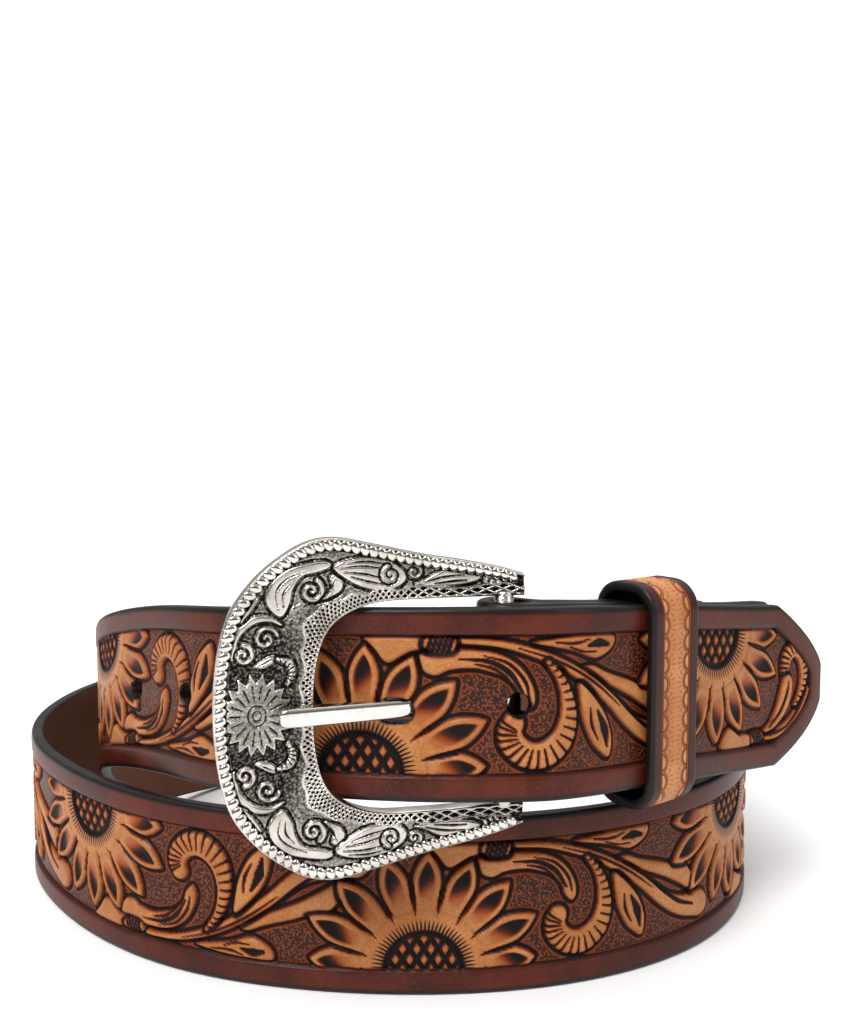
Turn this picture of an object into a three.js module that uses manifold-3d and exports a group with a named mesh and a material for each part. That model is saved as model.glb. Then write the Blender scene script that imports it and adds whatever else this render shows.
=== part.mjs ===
// A tooled western belt, buckled on itself and coiled into two turns that stand on edge.
// Millimetres, +Z up, the buckle faces -Y. The origin is the middle of the underside.
import * as THREE from 'three';
import { mergeVertices } from 'three/addons/utils/BufferGeometryUtils.js';
import Module from 'manifold-3d';

const wasm = await Module();
wasm.setup();

// Strap
const STRAP_WIDTH = 38.1;
const STRAP_THICKNESS = 3.0;
const EDGE_CHAMFER = 0.7;
const TIP_LENGTH = 20;
const TIP_NOSE_SHARE = 0.2; // of the strap's width, the blunt end of the pointed tip

// Punched holes, counted from the tip
const HOLE_DIAMETER = 4.8;
const HOLE_SPACING = 25.4;
const FIRST_HOLE_FROM_TIP = 99;
const HOLE_COUNT = 5;
const TONGUE_IN_HOLE = 2;

// Turned-back end that holds the buckle
const LAYER_GAP = 1.7; // between the tip and the layer under it, room for the post heads
const FOLD_GAP = 0.5;
const FOLD_LENGTH = 64;
const FOLD_TAPER = 12; // stretch over which the two layers close up behind the bar
const SLOT_LENGTH = 9; // from the bar's axis to each end of the slot for the tongue

// Buckle
const BAR_TO_HOLE = 23.6;
const BAR_RADIUS = 2.0;
const BAR_CLEARANCE = 0.4;
const FRAME_LENGTH = 57.4; // from the bar's axis to the far edge of the bow
const FRAME_BAND = 12.4; // widest stretch of metal above and below the opening
const FRAME_THICKNESS = 3.8;
const FRAME_BEVEL = 0.9;
const FRAME_DROP = 1.0; // the frame hangs a little below the strap's middle
const ARM_CLEARANCE = 2.0; // between the strap's edge and each arm
const ROPE_DIAMETER = 2.4;
const ROPE_PITCH = 2.9;
const ROPE_INSET = 0.3; // from the frame's outline to the rope
const BAR_SEAT = 1.0; // how far the bar reaches into each arm
const TONGUE_LENGTH = 45.5;
const TONGUE_WIDTH = 3.8;
const TONGUE_THICKNESS = 2.8;
const TONGUE_EYE_HEIGHT = 5.0;
const TONGUE_EYE_WALL = 1.4;
const TONGUE_DEPTH_IN_HOLE = 0.2; // share of the strap's thickness behind the grain side

// Keeper loop and the posts that close the fold
const KEEPER_WIDTH = 14;
const KEEPER_WALL = 2.2;
const KEEPER_RISE = 2.6; // room above and below the strap inside the loop
const KEEPER_CLEARANCE = 0.5;
const KEEPER_CORNER = 4.5;
const KEEPER_FROM_TIP = 61.6;
const POST_RADIUS = 2.0;
const POST_HEAD_RADIUS = 3.8;
const POST_HEAD_THICKNESS = 0.9;
const POST_FROM_BAR = [21, 55];

// Gap between pieces that touch on the real belt
const TOUCH_GAP = 0.35;

// The coil, seen from above. Bearings turn from the front (0) over the left (90) to the
// back (180), and go on counting. reach is a share of COIL_RADIUS from the coil's middle to
// the grain side, and lift is a share of STRAP_WIDTH from the floor to the lower edge.
const COIL_RADIUS = 92;
const TIP_PASS = [
  { bearing: -73, reach: 1.266, lift: 0.99 },
  { bearing: -64, reach: 1.161, lift: 1.035 },
  { bearing: -54, reach: 1.094, lift: 1.09 },
  { bearing: -45, reach: 1.07, lift: 1.14 },
  { bearing: -36, reach: 1.061, lift: 1.178 },
  { bearing: -25, reach: 1.072, lift: 1.215 },
  { bearing: -16, reach: 1.038, lift: 1.222 },
  { bearing: -7, reach: 0.993, lift: 1.215 },
  { bearing: 7, reach: 0.925, lift: 1.19 },
  { bearing: 21, reach: 0.873, lift: 1.15 },
  { bearing: 33, reach: 0.815, lift: 1.105 },
  { bearing: 49, reach: 0.775, lift: 1.02 },
];
const INNER_TURN = [
  { bearing: 67, reach: 0.785, lift: 0.87 },
  { bearing: 90, reach: 0.795, lift: 0.52 },
  { bearing: 120, reach: 0.815, lift: 0.08 },
  { bearing: 150, reach: 0.86, lift: 0 },
  { bearing: 172, reach: 0.905, lift: 0 },
  { bearing: 200, reach: 0.955, lift: 0 },
  { bearing: 230, reach: 1.02, lift: 0 },
  { bearing: 255, reach: 1.075, lift: 0 },
  { bearing: 286, reach: 1.079, lift: 0 },
  { bearing: 300, reach: 1.049, lift: 0 },
  { bearing: 317, reach: 0.981, lift: 0 },
  { bearing: 334, reach: 0.905, lift: 0 },
  { bearing: 355, reach: 0.841, lift: 0 },
];
const OUTER_TURN = [
  { bearing: 369, reach: 0.826, lift: 0 },
  { bearing: 383, reach: 0.832, lift: 0 },
  { bearing: 397, reach: 0.85, lift: 0 },
  { bearing: 412, reach: 0.878, lift: 0 },
  { bearing: 427, reach: 0.924, lift: 0 },
  { bearing: 441, reach: 0.982, lift: 0 },
  { bearing: 462, reach: 1.049, lift: 0 },
  { bearing: 476, reach: 1.079, lift: 0 },
  { bearing: 500, reach: 1.075, lift: 0 },
  { bearing: 525, reach: 1.03, lift: 0 },
];
// Here the strap lies outside the inner turn, and spare is the room left between the two.
const RISING_TURN = [
  { bearing: 548, spare: 0.05, lift: 0 },
  { bearing: 566, spare: 0.018, lift: 0.06 },
  { bearing: 584, spare: 0.011, lift: 0.21 },
  { bearing: 602, spare: 0.009, lift: 0.39 },
  { bearing: 618, spare: 0.008, lift: 0.58 },
  { bearing: 634, spare: 0.008, lift: 0.8 },
  { bearing: 650, spare: 0.012, lift: 1.01 },
];
const FULL_TURN = 360;
const JOIN_BEARINGS = [-56, -50, -44, -38]; // where the under layer settles behind the tip

const STATION_STEP = 7; // along the strap
const TIP_STATIONS = 7;
const FOLD_TURN_STATIONS = 8;
const ROUND_SIDES = 16;

// Half outline of the buckle's frame: along is a share of FRAME_LENGTH from the bar, half a
// share of the outer or inner half height.
const FRAME_OUTER = [
  { along: -0.066, half: 0.76 },
  { along: 0.02, half: 0.803 },
  { along: 0.14, half: 0.846 },
  { along: 0.29, half: 0.891 },
  { along: 0.445, half: 0.951 },
  { along: 0.585, half: 0.998 },
  { along: 0.68, half: 0.98 },
  { along: 0.77, half: 0.9 },
  { along: 0.865, half: 0.765 },
  { along: 0.945, half: 0.575 },
  { along: 0.986, half: 0.32 },
  { along: 1.0, half: 0 },
];
const FRAME_INNER = [
  { along: 0.668, half: 0 },
  { along: 0.663, half: 0.32 },
  { along: 0.64, half: 0.613 },
  { along: 0.598, half: 0.8 },
  { along: 0.53, half: 0.92 },
  { along: 0.44, half: 0.985 },
  { along: 0.29, half: 1.0 },
  { along: -0.066, half: 1.0 },
];

const radians = THREE.MathUtils.degToRad;

// Smooth curve through a table: a natural cubic spline of ys over xs.
function splineThrough(xs, ys) {
  const last = xs.length - 1;
  const bend = new Array(last + 1).fill(0);
  const carry = new Array(last + 1).fill(0);
  for (let i = 1; i < last; i += 1) {
    const before = xs[i] - xs[i - 1];
    const after = xs[i + 1] - xs[i];
    const share = before / (before + after);
    const pivot = share * bend[i - 1] + 2;
    const slopeChange = (ys[i + 1] - ys[i]) / after - (ys[i] - ys[i - 1]) / before;
    bend[i] = (share - 1) / pivot;
    carry[i] = ((6 * slopeChange) / (before + after) - share * carry[i - 1]) / pivot;
  }
  bend[last] = 0;
  for (let i = last - 1; i >= 0; i -= 1) {
    bend[i] = bend[i] * bend[i + 1] + carry[i];
  }
  return (x) => {
    let i = 0;
    while (i < last - 1 && x > xs[i + 1]) {
      i += 1;
    }
    const span = xs[i + 1] - xs[i];
    const a = (xs[i + 1] - x) / span;
    const b = 1 - a;
    const curve = (a ** 3 - a) * bend[i] + (b ** 3 - b) * bend[i + 1];
    return a * ys[i] + b * ys[i + 1] + (curve * span ** 2) / 6;
  };
}

// Curve through a table that never overshoots its rows, so that what lies flat stays flat.
function steadyThrough(xs, ys) {
  const last = xs.length - 1;
  const slopes = xs.map((x, i) => {
    if (i === 0 || i === last) {
      return 0;
    }
    const before = (ys[i] - ys[i - 1]) / (xs[i] - xs[i - 1]);
    const after = (ys[i + 1] - ys[i]) / (xs[i + 1] - xs[i]);
    return before * after <= 0 ? 0 : (2 * before * after) / (before + after);
  });
  return (x) => {
    let i = 0;
    while (i < last - 1 && x > xs[i + 1]) {
      i += 1;
    }
    const span = xs[i + 1] - xs[i];
    const t = (x - xs[i]) / span;
    const rise = ys[i + 1] - ys[i];
    const start = t * (1 - t) ** 2 * slopes[i] * span;
    const end = t ** 2 * (t - 1) * slopes[i + 1] * span;
    return ys[i] + rise * t ** 2 * (3 - 2 * t) + start + end;
  };
}

// Grain-side point of the strap for a bearing and a reach.
function atBearing(bearing, reach) {
  const angle = radians(bearing);
  return new THREE.Vector2(-Math.sin(angle) * reach, -Math.cos(angle) * reach);
}

// One stretch of the strap as functions of the distance walked along its grain side.
function walkPath(rows, from, to) {
  const reachAt = splineThrough(rows.map((r) => r.bearing), rows.map((r) => r.reach));
  const liftAt = steadyThrough(rows.map((r) => r.bearing), rows.map((r) => r.lift));
  const steps = Math.ceil((to - from) * 2);
  const bearings = [];
  const walked = [];
  let previous = null;
  for (let i = 0; i <= steps; i += 1) {
    const bearing = from + ((to - from) * i) / steps;
    const flat = atBearing(bearing, reachAt(bearing) * COIL_RADIUS);
    const point = new THREE.Vector3(flat.x, flat.y, liftAt(bearing) * STRAP_WIDTH);
    bearings.push(bearing);
    walked.push(previous ? walked[i - 1] + point.distanceTo(previous) : 0);
    previous = point;
  }
  const bearingAt = steadyThrough(walked, bearings);
  const place = (bearing) => {
    const point = atBearing(bearing, reachAt(bearing) * COIL_RADIUS);
    const ahead = atBearing(bearing + 0.25, reachAt(bearing + 0.25) * COIL_RADIUS);
    const behind = atBearing(bearing - 0.25, reachAt(bearing - 0.25) * COIL_RADIUS);
    const along = ahead.sub(behind).normalize();
    const inward = new THREE.Vector2(along.y, -along.x);
    return { point, along, inward, lift: liftAt(bearing) * STRAP_WIDTH };
  };
  return {
    length: walked[steps],
    reachAt,
    at: (distance) => place(interpolate(walked, bearings, distance)),
    walkedTo: (bearing) => interpolate(bearings, walked, bearing),
    bearingAt,
  };
}

function interpolate(xs, ys, x) {
  const last = xs.length - 1;
  let low = 0;
  let high = last;
  while (high - low > 1) {
    const middle = Math.floor((low + high) / 2);
    if (xs[middle] > x) {
      high = middle;
    } else {
      low = middle;
    }
  }
  const t = (x - xs[low]) / (xs[high] - xs[low]);
  return ys[low] + (ys[high] - ys[low]) * t;
}

// The tip's own pass comes first, because the buckle, keeper and fold line up with it.
const visibleRows = [...TIP_PASS, ...INNER_TURN, ...OUTER_TURN];
const tipPass = walkPath(visibleRows, visibleRows[0].bearing, OUTER_TURN[0].bearing);
const barStation = FIRST_HOLE_FROM_TIP + (TONGUE_IN_HOLE - 1) * HOLE_SPACING - BAR_TO_HOLE;
const underOffset = STRAP_THICKNESS + LAYER_GAP;

// A place set back from the tip's grain side by depth, with the tip's own directions.
function behindTip(distance, depth) {
  const tip = tipPass.at(distance);
  return { ...tip, point: tip.point.clone().addScaledVector(tip.inward, depth) };
}

const risingRows = RISING_TURN.map((row) => ({
  bearing: row.bearing,
  reach: tipPass.reachAt(row.bearing - FULL_TURN) + STRAP_THICKNESS / COIL_RADIUS + row.spare,
  lift: row.lift,
}));
const joinRows = JOIN_BEARINGS.map((bearing) => {
  const under = behindTip(tipPass.walkedTo(bearing), underOffset);
  const bearingUnder = THREE.MathUtils.radToDeg(Math.atan2(-under.point.x, -under.point.y));
  return {
    bearing: bearingUnder + 2 * FULL_TURN,
    reach: under.point.length() / COIL_RADIUS,
    lift: under.lift / STRAP_WIDTH,
  };
});
const allRows = [...visibleRows, ...risingRows, ...joinRows];
const wholePass = walkPath(allRows, allRows[0].bearing, joinRows[joinRows.length - 1].bearing);

// Directions of the bar and the buckle
const barFrame = behindTip(barStation, 0);
const foldRadius = BAR_RADIUS + BAR_CLEARANCE + STRAP_THICKNESS;
const barAxis = barFrame.point.clone().addScaledVector(barFrame.inward, underOffset + foldRadius);
const strapMiddle = barFrame.lift + STRAP_WIDTH / 2;
const openingHalf = STRAP_WIDTH / 2 + ARM_CLEARANCE;
const frameHalf = openingHalf + FRAME_BAND;

function stationAt(frame, half) {
  return {
    point: frame.point,
    inward: frame.inward,
    middle: frame.lift + STRAP_WIDTH / 2,
    half,
  };
}

// Stations of the whole strap, from the pointed tip to the end of the turned-back fold.
function strapStations() {
  const stations = [];
  const fullHalf = STRAP_WIDTH / 2;
  for (let i = 0; i < TIP_STATIONS; i += 1) {
    const share = TIP_NOSE_SHARE + ((1 - TIP_NOSE_SHARE) * i) / TIP_STATIONS;
    const distance = TIP_LENGTH * (share ** 2 - TIP_NOSE_SHARE ** 2);
    stations.push(stationAt(tipPass.at(distance), fullHalf * share));
  }
  const start = TIP_LENGTH * (1 - TIP_NOSE_SHARE ** 2);
  const steps = Math.ceil((wholePass.length - start) / STATION_STEP);
  for (let i = 0; i <= steps; i += 1) {
    const distance = start + ((wholePass.length - start) * i) / steps;
    stations.push(stationAt(wholePass.at(distance), fullHalf));
  }
  const settled = tipPass.walkedTo(JOIN_BEARINGS[JOIN_BEARINGS.length - 1]);
  const underSteps = Math.ceil((barStation - settled) / STATION_STEP);
  for (let i = 1; i <= underSteps; i += 1) {
    const distance = settled + ((barStation - settled) * i) / underSteps;
    stations.push(stationAt(behindTip(distance, underOffset), fullHalf));
  }
  for (let i = 1; i <= FOLD_TURN_STATIONS; i += 1) {
    const angle = (Math.PI * i) / FOLD_TURN_STATIONS;
    const out = barFrame.along.clone().multiplyScalar(Math.sin(angle));
    out.addScaledVector(barFrame.inward, -Math.cos(angle));
    const point = barAxis.clone().addScaledVector(out, foldRadius);
    stations.push({ point, inward: out.negate(), middle: strapMiddle, half: fullHalf });
  }
  const backSteps = Math.ceil(FOLD_LENGTH / STATION_STEP) + 2;
  for (let i = 1; i <= backSteps; i += 1) {
    const fromBar = (FOLD_LENGTH * i) / backSteps;
    const frame = behindTip(barStation - fromBar, underOffset + foldDepth(fromBar));
    const station = stationAt(frame, fullHalf);
    station.inward = frame.inward.clone().negate();
    stations.push(station);
  }
  return stations;
}

// Depth of the fold, from the under layer's grain side to the turned-back layer's.
function foldDepth(fromBar) {
  const closed = 2 * STRAP_THICKNESS + FOLD_GAP;
  const t = THREE.MathUtils.smoothstep(fromBar, 0, FOLD_TAPER);
  return THREE.MathUtils.lerp(2 * foldRadius, closed, t);
}

// Chamfered section of the strap, as depth from the grain side and height from the middle.
function strapSection(half) {
  const c = EDGE_CHAMFER;
  const t = STRAP_THICKNESS;
  return [
    [0, c - half], [c, -half], [t - c, -half], [t, c - half],
    [t, half - c], [t - c, half], [c, half], [0, half - c],
  ];
}

function strapGeometry() {
  const stations = strapStations();
  const sides = strapSection(1).length;
  const positions = [];
  for (const station of stations) {
    for (const [depth, height] of strapSection(station.half)) {
      const spot = station.point.clone().addScaledVector(station.inward, depth);
      positions.push(spot.x, spot.y, station.middle + height);
    }
  }
  const index = [];
  for (let i = 0; i < stations.length - 1; i += 1) {
    for (let j = 0; j < sides; j += 1) {
      const a = i * sides + j;
      const b = i * sides + ((j + 1) % sides);
      index.push(a, b + sides, b, a, a + sides, b + sides);
    }
  }
  const endRing = (stations.length - 1) * sides;
  for (let j = 1; j < sides - 1; j += 1) {
    index.push(0, j, j + 1);
    index.push(endRing, endRing + j + 1, endRing + j);
  }
  const geometry = new THREE.BufferGeometry();
  geometry.setAttribute('position', new THREE.Float32BufferAttribute(positions, 3));
  geometry.setIndex(index);
  return geometry;
}

// Solids for cutting and joining
function toSolid(geometry, matrix = new THREE.Matrix4()) {
  const bare = geometry.clone();
  bare.deleteAttribute('normal');
  bare.deleteAttribute('uv');
  bare.applyMatrix4(matrix);
  const merged = mergeVertices(bare, 1e-4);
  const mesh = new wasm.Mesh({
    numProp: 3,
    vertProperties: new Float32Array(merged.attributes.position.array),
    triVerts: new Uint32Array(merged.index.array),
  });
  return new wasm.Manifold(mesh);
}

function toGeometry(solid) {
  const mesh = solid.getMesh();
  const geometry = new THREE.BufferGeometry();
  const positions = new THREE.Float32BufferAttribute(mesh.vertProperties, 3);
  geometry.setAttribute('position', positions);
  geometry.setIndex(new THREE.BufferAttribute(mesh.triVerts, 1));
  geometry.computeVertexNormals();
  return geometry;
}

// Local axes: x points back towards the tip, y into the coil and z up.
function placed(point, along, height) {
  const x = new THREE.Vector3(-along.x, -along.y, 0);
  const y = new THREE.Vector3(along.y, -along.x, 0);
  const matrix = new THREE.Matrix4().makeBasis(x, y, new THREE.Vector3(0, 0, 1));
  return matrix.setPosition(point.x, point.y, height);
}

// A round rod along the local y axis, between two depths.
function rod(radius, near, far) {
  const geometry = new THREE.CylinderGeometry(radius, radius, far - near, ROUND_SIDES);
  geometry.translate(0, (near + far) / 2, 0);
  return geometry;
}

// The tongue runs straight from the bar through its hole.
const tongueHole = tipPass.at(barStation + BAR_TO_HOLE);
const tongueDepth = TONGUE_DEPTH_IN_HOLE * STRAP_THICKNESS;
const holeMiddle = tongueHole.point.clone().addScaledVector(tongueHole.inward, tongueDepth);
const tongueAlong = holeMiddle.clone().sub(barAxis).normalize();
const frameOffset = (TONGUE_THICKNESS + FRAME_THICKNESS) / 2 + TOUCH_GAP;
const bowInner = FRAME_INNER[0].along * FRAME_LENGTH;
const frameTurn = Math.asin(frameOffset / bowInner);
const frameAlong = tongueAlong.clone().rotateAround(new THREE.Vector2(), -frameTurn);
const frameHeight = strapMiddle - FRAME_DROP;

function tongueBar(grow) {
  const shape = new THREE.Shape();
  const half = TONGUE_THICKNESS / 2 + grow;
  const start = BAR_RADIUS + TOUCH_GAP + TONGUE_EYE_WALL / 2;
  const end = TONGUE_LENGTH + grow;
  shape.moveTo(start, -half);
  shape.lineTo(end - half, -half);
  shape.absarc(end - half, 0, half, -Math.PI / 2, Math.PI / 2, false);
  shape.lineTo(start, half);
  shape.closePath();
  const bevel = TONGUE_WIDTH / 6;
  const depth = TONGUE_WIDTH + 2 * grow - 2 * bevel;
  const options = { depth, bevelThickness: bevel, bevelSize: bevel, bevelSegments: 1 };
  const geometry = new THREE.ExtrudeGeometry(shape, { ...options, bevelOffset: -bevel, curveSegments: 6 });
  geometry.translate(0, 0, -depth / 2);
  geometry.rotateY(Math.PI);
  return geometry;
}

function tongueSolid(grow) {
  return toSolid(tongueBar(grow), placed(barAxis, tongueAlong, frameHeight));
}

function tongueGeometry() {
  const inner = BAR_RADIUS + TOUCH_GAP;
  const outer = inner + TONGUE_EYE_WALL;
  const half = TONGUE_EYE_HEIGHT / 2;
  const profile = [
    new THREE.Vector2(inner, -half),
    new THREE.Vector2(outer, -half),
    new THREE.Vector2(outer, half),
    new THREE.Vector2(inner, half),
    new THREE.Vector2(inner, -half),
  ];
  const eye = new THREE.LatheGeometry(profile, ROUND_SIDES);
  eye.rotateX(Math.PI / 2);
  const eyeSolid = toSolid(eye, placed(barAxis, tongueAlong, frameHeight));
  return toGeometry(eyeSolid.add(tongueSolid(0)));
}

// Outline of the open frame: out along the top arm, round the bow and back.
function frameShape() {
  const place = (row, height, sign) => {
    return new THREE.Vector2(row.along * FRAME_LENGTH, sign * row.half * height);
  };
  const upperOut = FRAME_OUTER.map((row) => place(row, frameHalf, 1));
  const lowerOut = FRAME_OUTER.slice(0, -1).reverse().map((row) => place(row, frameHalf, -1));
  const lowerIn = FRAME_INNER.slice(1).reverse().map((row) => place(row, openingHalf, -1));
  const upperIn = FRAME_INNER.map((row) => place(row, openingHalf, 1));
  const outerCurve = new THREE.SplineCurve([...upperOut, ...lowerOut]);
  const innerCurve = new THREE.SplineCurve([...lowerIn, ...upperIn]);
  const outer = outerCurve.getSpacedPoints(64);
  const inner = innerCurve.getSpacedPoints(40);
  return { shape: new THREE.Shape([...outer, ...inner]), outerCurve };
}

// Rope edge: short slanted strands that follow the outer outline on the front.
function ropeStrand(at, along, front) {
  const strand = new THREE.SphereGeometry(ROPE_DIAMETER / 2, 8, 5);
  strand.scale(0.72, 1, 1.55);
  strand.rotateY(radians(38));
  const heading = Math.atan2(along.y, along.x);
  strand.rotateY(-heading);
  strand.translate(at.x, front, at.y);
  return strand;
}

function frameGeometry() {
  const { shape, outerCurve } = frameShape();
  const flatDepth = FRAME_THICKNESS - 2 * FRAME_BEVEL;
  const plate = new THREE.ExtrudeGeometry(shape, {
    depth: flatDepth,
    bevelThickness: FRAME_BEVEL,
    bevelSize: FRAME_BEVEL,
    bevelOffset: -FRAME_BEVEL,
    bevelSegments: 2,
  });
  plate.translate(0, 0, -flatDepth / 2);
  plate.rotateX(Math.PI / 2);
  const barLength = 2 * (openingHalf + BAR_SEAT);
  const bar = new THREE.CylinderGeometry(BAR_RADIUS, BAR_RADIUS, barLength, ROUND_SIDES);
  bar.rotateX(Math.PI / 2);
  const front = -FRAME_THICKNESS / 2 + ROPE_DIAMETER * 0.12;
  const length = outerCurve.getLength();
  const strands = Math.round(length / ROPE_PITCH);
  let solid = toSolid(plate).add(toSolid(bar));
  for (let i = 1; i < strands; i += 1) {
    const share = i / strands;
    const edge = outerCurve.getPointAt(share);
    const along = outerCurve.getTangentAt(share);
    const inset = new THREE.Vector2(along.y, -along.x).multiplyScalar(ROPE_DIAMETER / 2 + ROPE_INSET);
    solid = solid.add(toSolid(ropeStrand(edge.add(inset), along, front)));
  }
  const geometry = toGeometry(solid);
  geometry.rotateY(Math.PI);
  geometry.applyMatrix4(placed(barAxis, frameAlong, frameHeight));
  return geometry;
}

// The keeper is a rounded loop round the tip and both layers of the fold.
function roundedRectangle(Path, depth, height, corner) {
  const path = new Path();
  const x = depth / 2;
  const y = height / 2;
  path.moveTo(x - corner, -y);
  path.absarc(x - corner, corner - y, corner, -Math.PI / 2, 0, false);
  path.absarc(x - corner, y - corner, corner, 0, Math.PI / 2, false);
  path.absarc(corner - x, y - corner, corner, Math.PI / 2, Math.PI, false);
  path.absarc(corner - x, corner - y, corner, Math.PI, Math.PI * 1.5, false);
  path.closePath();
  return path;
}

function keeperGeometry() {
  const layers = underOffset + foldDepth(FOLD_LENGTH);
  const innerDepth = layers + 2 * KEEPER_CLEARANCE;
  const innerHeight = STRAP_WIDTH + 2 * KEEPER_RISE;
  const innerCorner = Math.max(KEEPER_CORNER - KEEPER_WALL, 0.5);
  const outerDepth = innerDepth + 2 * KEEPER_WALL;
  const outerHeight = innerHeight + 2 * KEEPER_WALL;
  const shape = roundedRectangle(THREE.Shape, outerDepth, outerHeight, KEEPER_CORNER);
  shape.holes.push(roundedRectangle(THREE.Path, innerDepth, innerHeight, innerCorner));
  const geometry = new THREE.ExtrudeGeometry(shape, {
    depth: KEEPER_WIDTH,
    bevelEnabled: false,
    curveSegments: 5,
  });
  geometry.translate(0, 0, -KEEPER_WIDTH / 2);
  // the shape's x becomes depth into the coil, its y the height, and z runs along the strap
  const turn = new THREE.Matrix4().makeBasis(
    new THREE.Vector3(0, 1, 0),
    new THREE.Vector3(0, 0, 1),
    new THREE.Vector3(1, 0, 0),
  );
  geometry.applyMatrix4(turn);
  const frame = behindTip(KEEPER_FROM_TIP, layers / 2);
  geometry.applyMatrix4(placed(frame.point, frame.along, frame.lift + STRAP_WIDTH / 2));
  return geometry;
}

function postPlace(fromBar) {
  const frame = behindTip(barStation - fromBar, underOffset);
  return placed(frame.point, frame.along, frame.lift + STRAP_WIDTH / 2);
}

// A post is a spool: a head on each side of the fold and a shank through both layers.
function postGeometry(fromBar) {
  const far = foldDepth(fromBar) + TOUCH_GAP;
  const near = -TOUCH_GAP;
  const profile = [
    new THREE.Vector2(0, near - POST_HEAD_THICKNESS),
    new THREE.Vector2(POST_HEAD_RADIUS, near - POST_HEAD_THICKNESS),
    new THREE.Vector2(POST_HEAD_RADIUS, near),
    new THREE.Vector2(POST_RADIUS, near),
    new THREE.Vector2(POST_RADIUS, far),
    new THREE.Vector2(POST_HEAD_RADIUS, far),
    new THREE.Vector2(POST_HEAD_RADIUS, far + POST_HEAD_THICKNESS),
    new THREE.Vector2(0, far + POST_HEAD_THICKNESS),
  ];
  const geometry = new THREE.LatheGeometry(profile, ROUND_SIDES);
  geometry.applyMatrix4(postPlace(fromBar));
  return geometry;
}

// The strap after punching: belt holes, the tongue's slot and way, and the post holes.
function punchedStrap() {
  let strap = toSolid(strapGeometry());
  for (let i = 0; i < HOLE_COUNT; i += 1) {
    const frame = tipPass.at(FIRST_HOLE_FROM_TIP + i * HOLE_SPACING);
    const height = frame.lift + STRAP_WIDTH / 2 - (i === TONGUE_IN_HOLE - 1 ? FRAME_DROP : 0);
    const depth = STRAP_THICKNESS + LAYER_GAP / 2;
    const punch = rod(HOLE_DIAMETER / 2, -STRAP_THICKNESS, depth);
    strap = strap.subtract(toSolid(punch, placed(frame.point, frame.along, height)));
  }
  for (const fromBar of POST_FROM_BAR) {
    const punch = rod(POST_RADIUS + TOUCH_GAP, -LAYER_GAP / 2, foldDepth(fromBar) + 1);
    strap = strap.subtract(toSolid(punch, postPlace(fromBar)));
  }
  const slotDepth = 2 * foldRadius + LAYER_GAP / 2 + 1;
  const slotHeight = TONGUE_EYE_HEIGHT + 2 * TOUCH_GAP;
  const slot = new THREE.BoxGeometry(2 * SLOT_LENGTH, slotDepth, slotHeight);
  slot.translate(0, slotDepth / 2 - foldRadius - LAYER_GAP / 2, 0);
  strap = strap.subtract(toSolid(slot, placed(barAxis, barFrame.along, frameHeight)));
  return toGeometry(strap.subtract(tongueSolid(TOUCH_GAP)));
}

const leather = () => new THREE.MeshStandardMaterial({ color: 0x8a4a26, roughness: 0.45 });
const saddleLeather = () => new THREE.MeshStandardMaterial({ color: 0xa8693a, roughness: 0.5 });
const castSilver = () => {
  return new THREE.MeshStandardMaterial({ color: 0xb9b8b4, roughness: 0.3, metalness: 1 });
};
const polishedSilver = () => {
  return new THREE.MeshStandardMaterial({ color: 0xd6d5d0, roughness: 0.15, metalness: 1 });
};

function named(name, geometry, material) {
  const mesh = new THREE.Mesh(geometry, material);
  mesh.name = name;
  return mesh;
}

const coil = new THREE.Group();
coil.add(named('strap', punchedStrap(), leather()));
coil.add(named('keeper', keeperGeometry(), saddleLeather()));
coil.add(named('buckle_frame', frameGeometry(), castSilver()));
coil.add(named('buckle_tongue', tongueGeometry(), polishedSilver()));
POST_FROM_BAR.forEach((fromBar, i) => {
  coil.add(named(`fold_post_${i + 1}`, postGeometry(fromBar), polishedSilver()));
});

// Stand the belt on z = 0 with the middle of its underside at the origin.
const bounds = new THREE.Box3().setFromObject(coil);
const middle = bounds.getCenter(new THREE.Vector3());
coil.position.set(-middle.x, -middle.y, -bounds.min.z);
const belt = new THREE.Group();
belt.add(coil);

export default belt;
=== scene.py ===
# %% [markdown]
# # A tooled western belt, buckled and coiled
# The real object is a long leather strap, 38 mm wide and 3 mm thick, with sunflowers and
# scrolls pressed into its face, a cast silver buckle and a leather keeper.
# The solids that come in as the frame fix every size. This script only adds the looks:
# it builds each piece again with its fine relief and keeps the solid's form.
# Lengths in the belt's own cells are millimetres, as a leather worker would say them, and
# turn into metres when a mesh is made.

# %% The fixed frame
import math

import bpy
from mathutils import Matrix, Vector
import numpy as np


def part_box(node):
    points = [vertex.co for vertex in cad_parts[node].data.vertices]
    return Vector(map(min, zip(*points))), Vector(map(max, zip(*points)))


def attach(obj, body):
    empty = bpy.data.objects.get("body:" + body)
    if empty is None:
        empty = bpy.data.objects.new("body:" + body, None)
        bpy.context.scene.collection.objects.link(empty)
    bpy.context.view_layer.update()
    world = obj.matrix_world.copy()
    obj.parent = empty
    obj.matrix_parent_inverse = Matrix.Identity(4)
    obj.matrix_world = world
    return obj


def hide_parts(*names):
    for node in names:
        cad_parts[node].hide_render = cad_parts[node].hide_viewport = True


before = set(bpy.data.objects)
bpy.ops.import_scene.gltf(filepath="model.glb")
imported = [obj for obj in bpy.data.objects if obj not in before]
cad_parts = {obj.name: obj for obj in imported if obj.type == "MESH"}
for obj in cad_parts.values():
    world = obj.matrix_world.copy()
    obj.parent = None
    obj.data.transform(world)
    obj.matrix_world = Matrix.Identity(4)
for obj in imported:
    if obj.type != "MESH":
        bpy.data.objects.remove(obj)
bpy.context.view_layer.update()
MM = 0.001
print("nodes:", sorted(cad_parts))

# %% [markdown]
# ## Camera
# The camera comes first, so that every later piece can be looked at. It stands low in
# front of the buckle, a little above the belt, and looks slightly down, so the upper strap
# is seen almost level and the lower turn from above.

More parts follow.
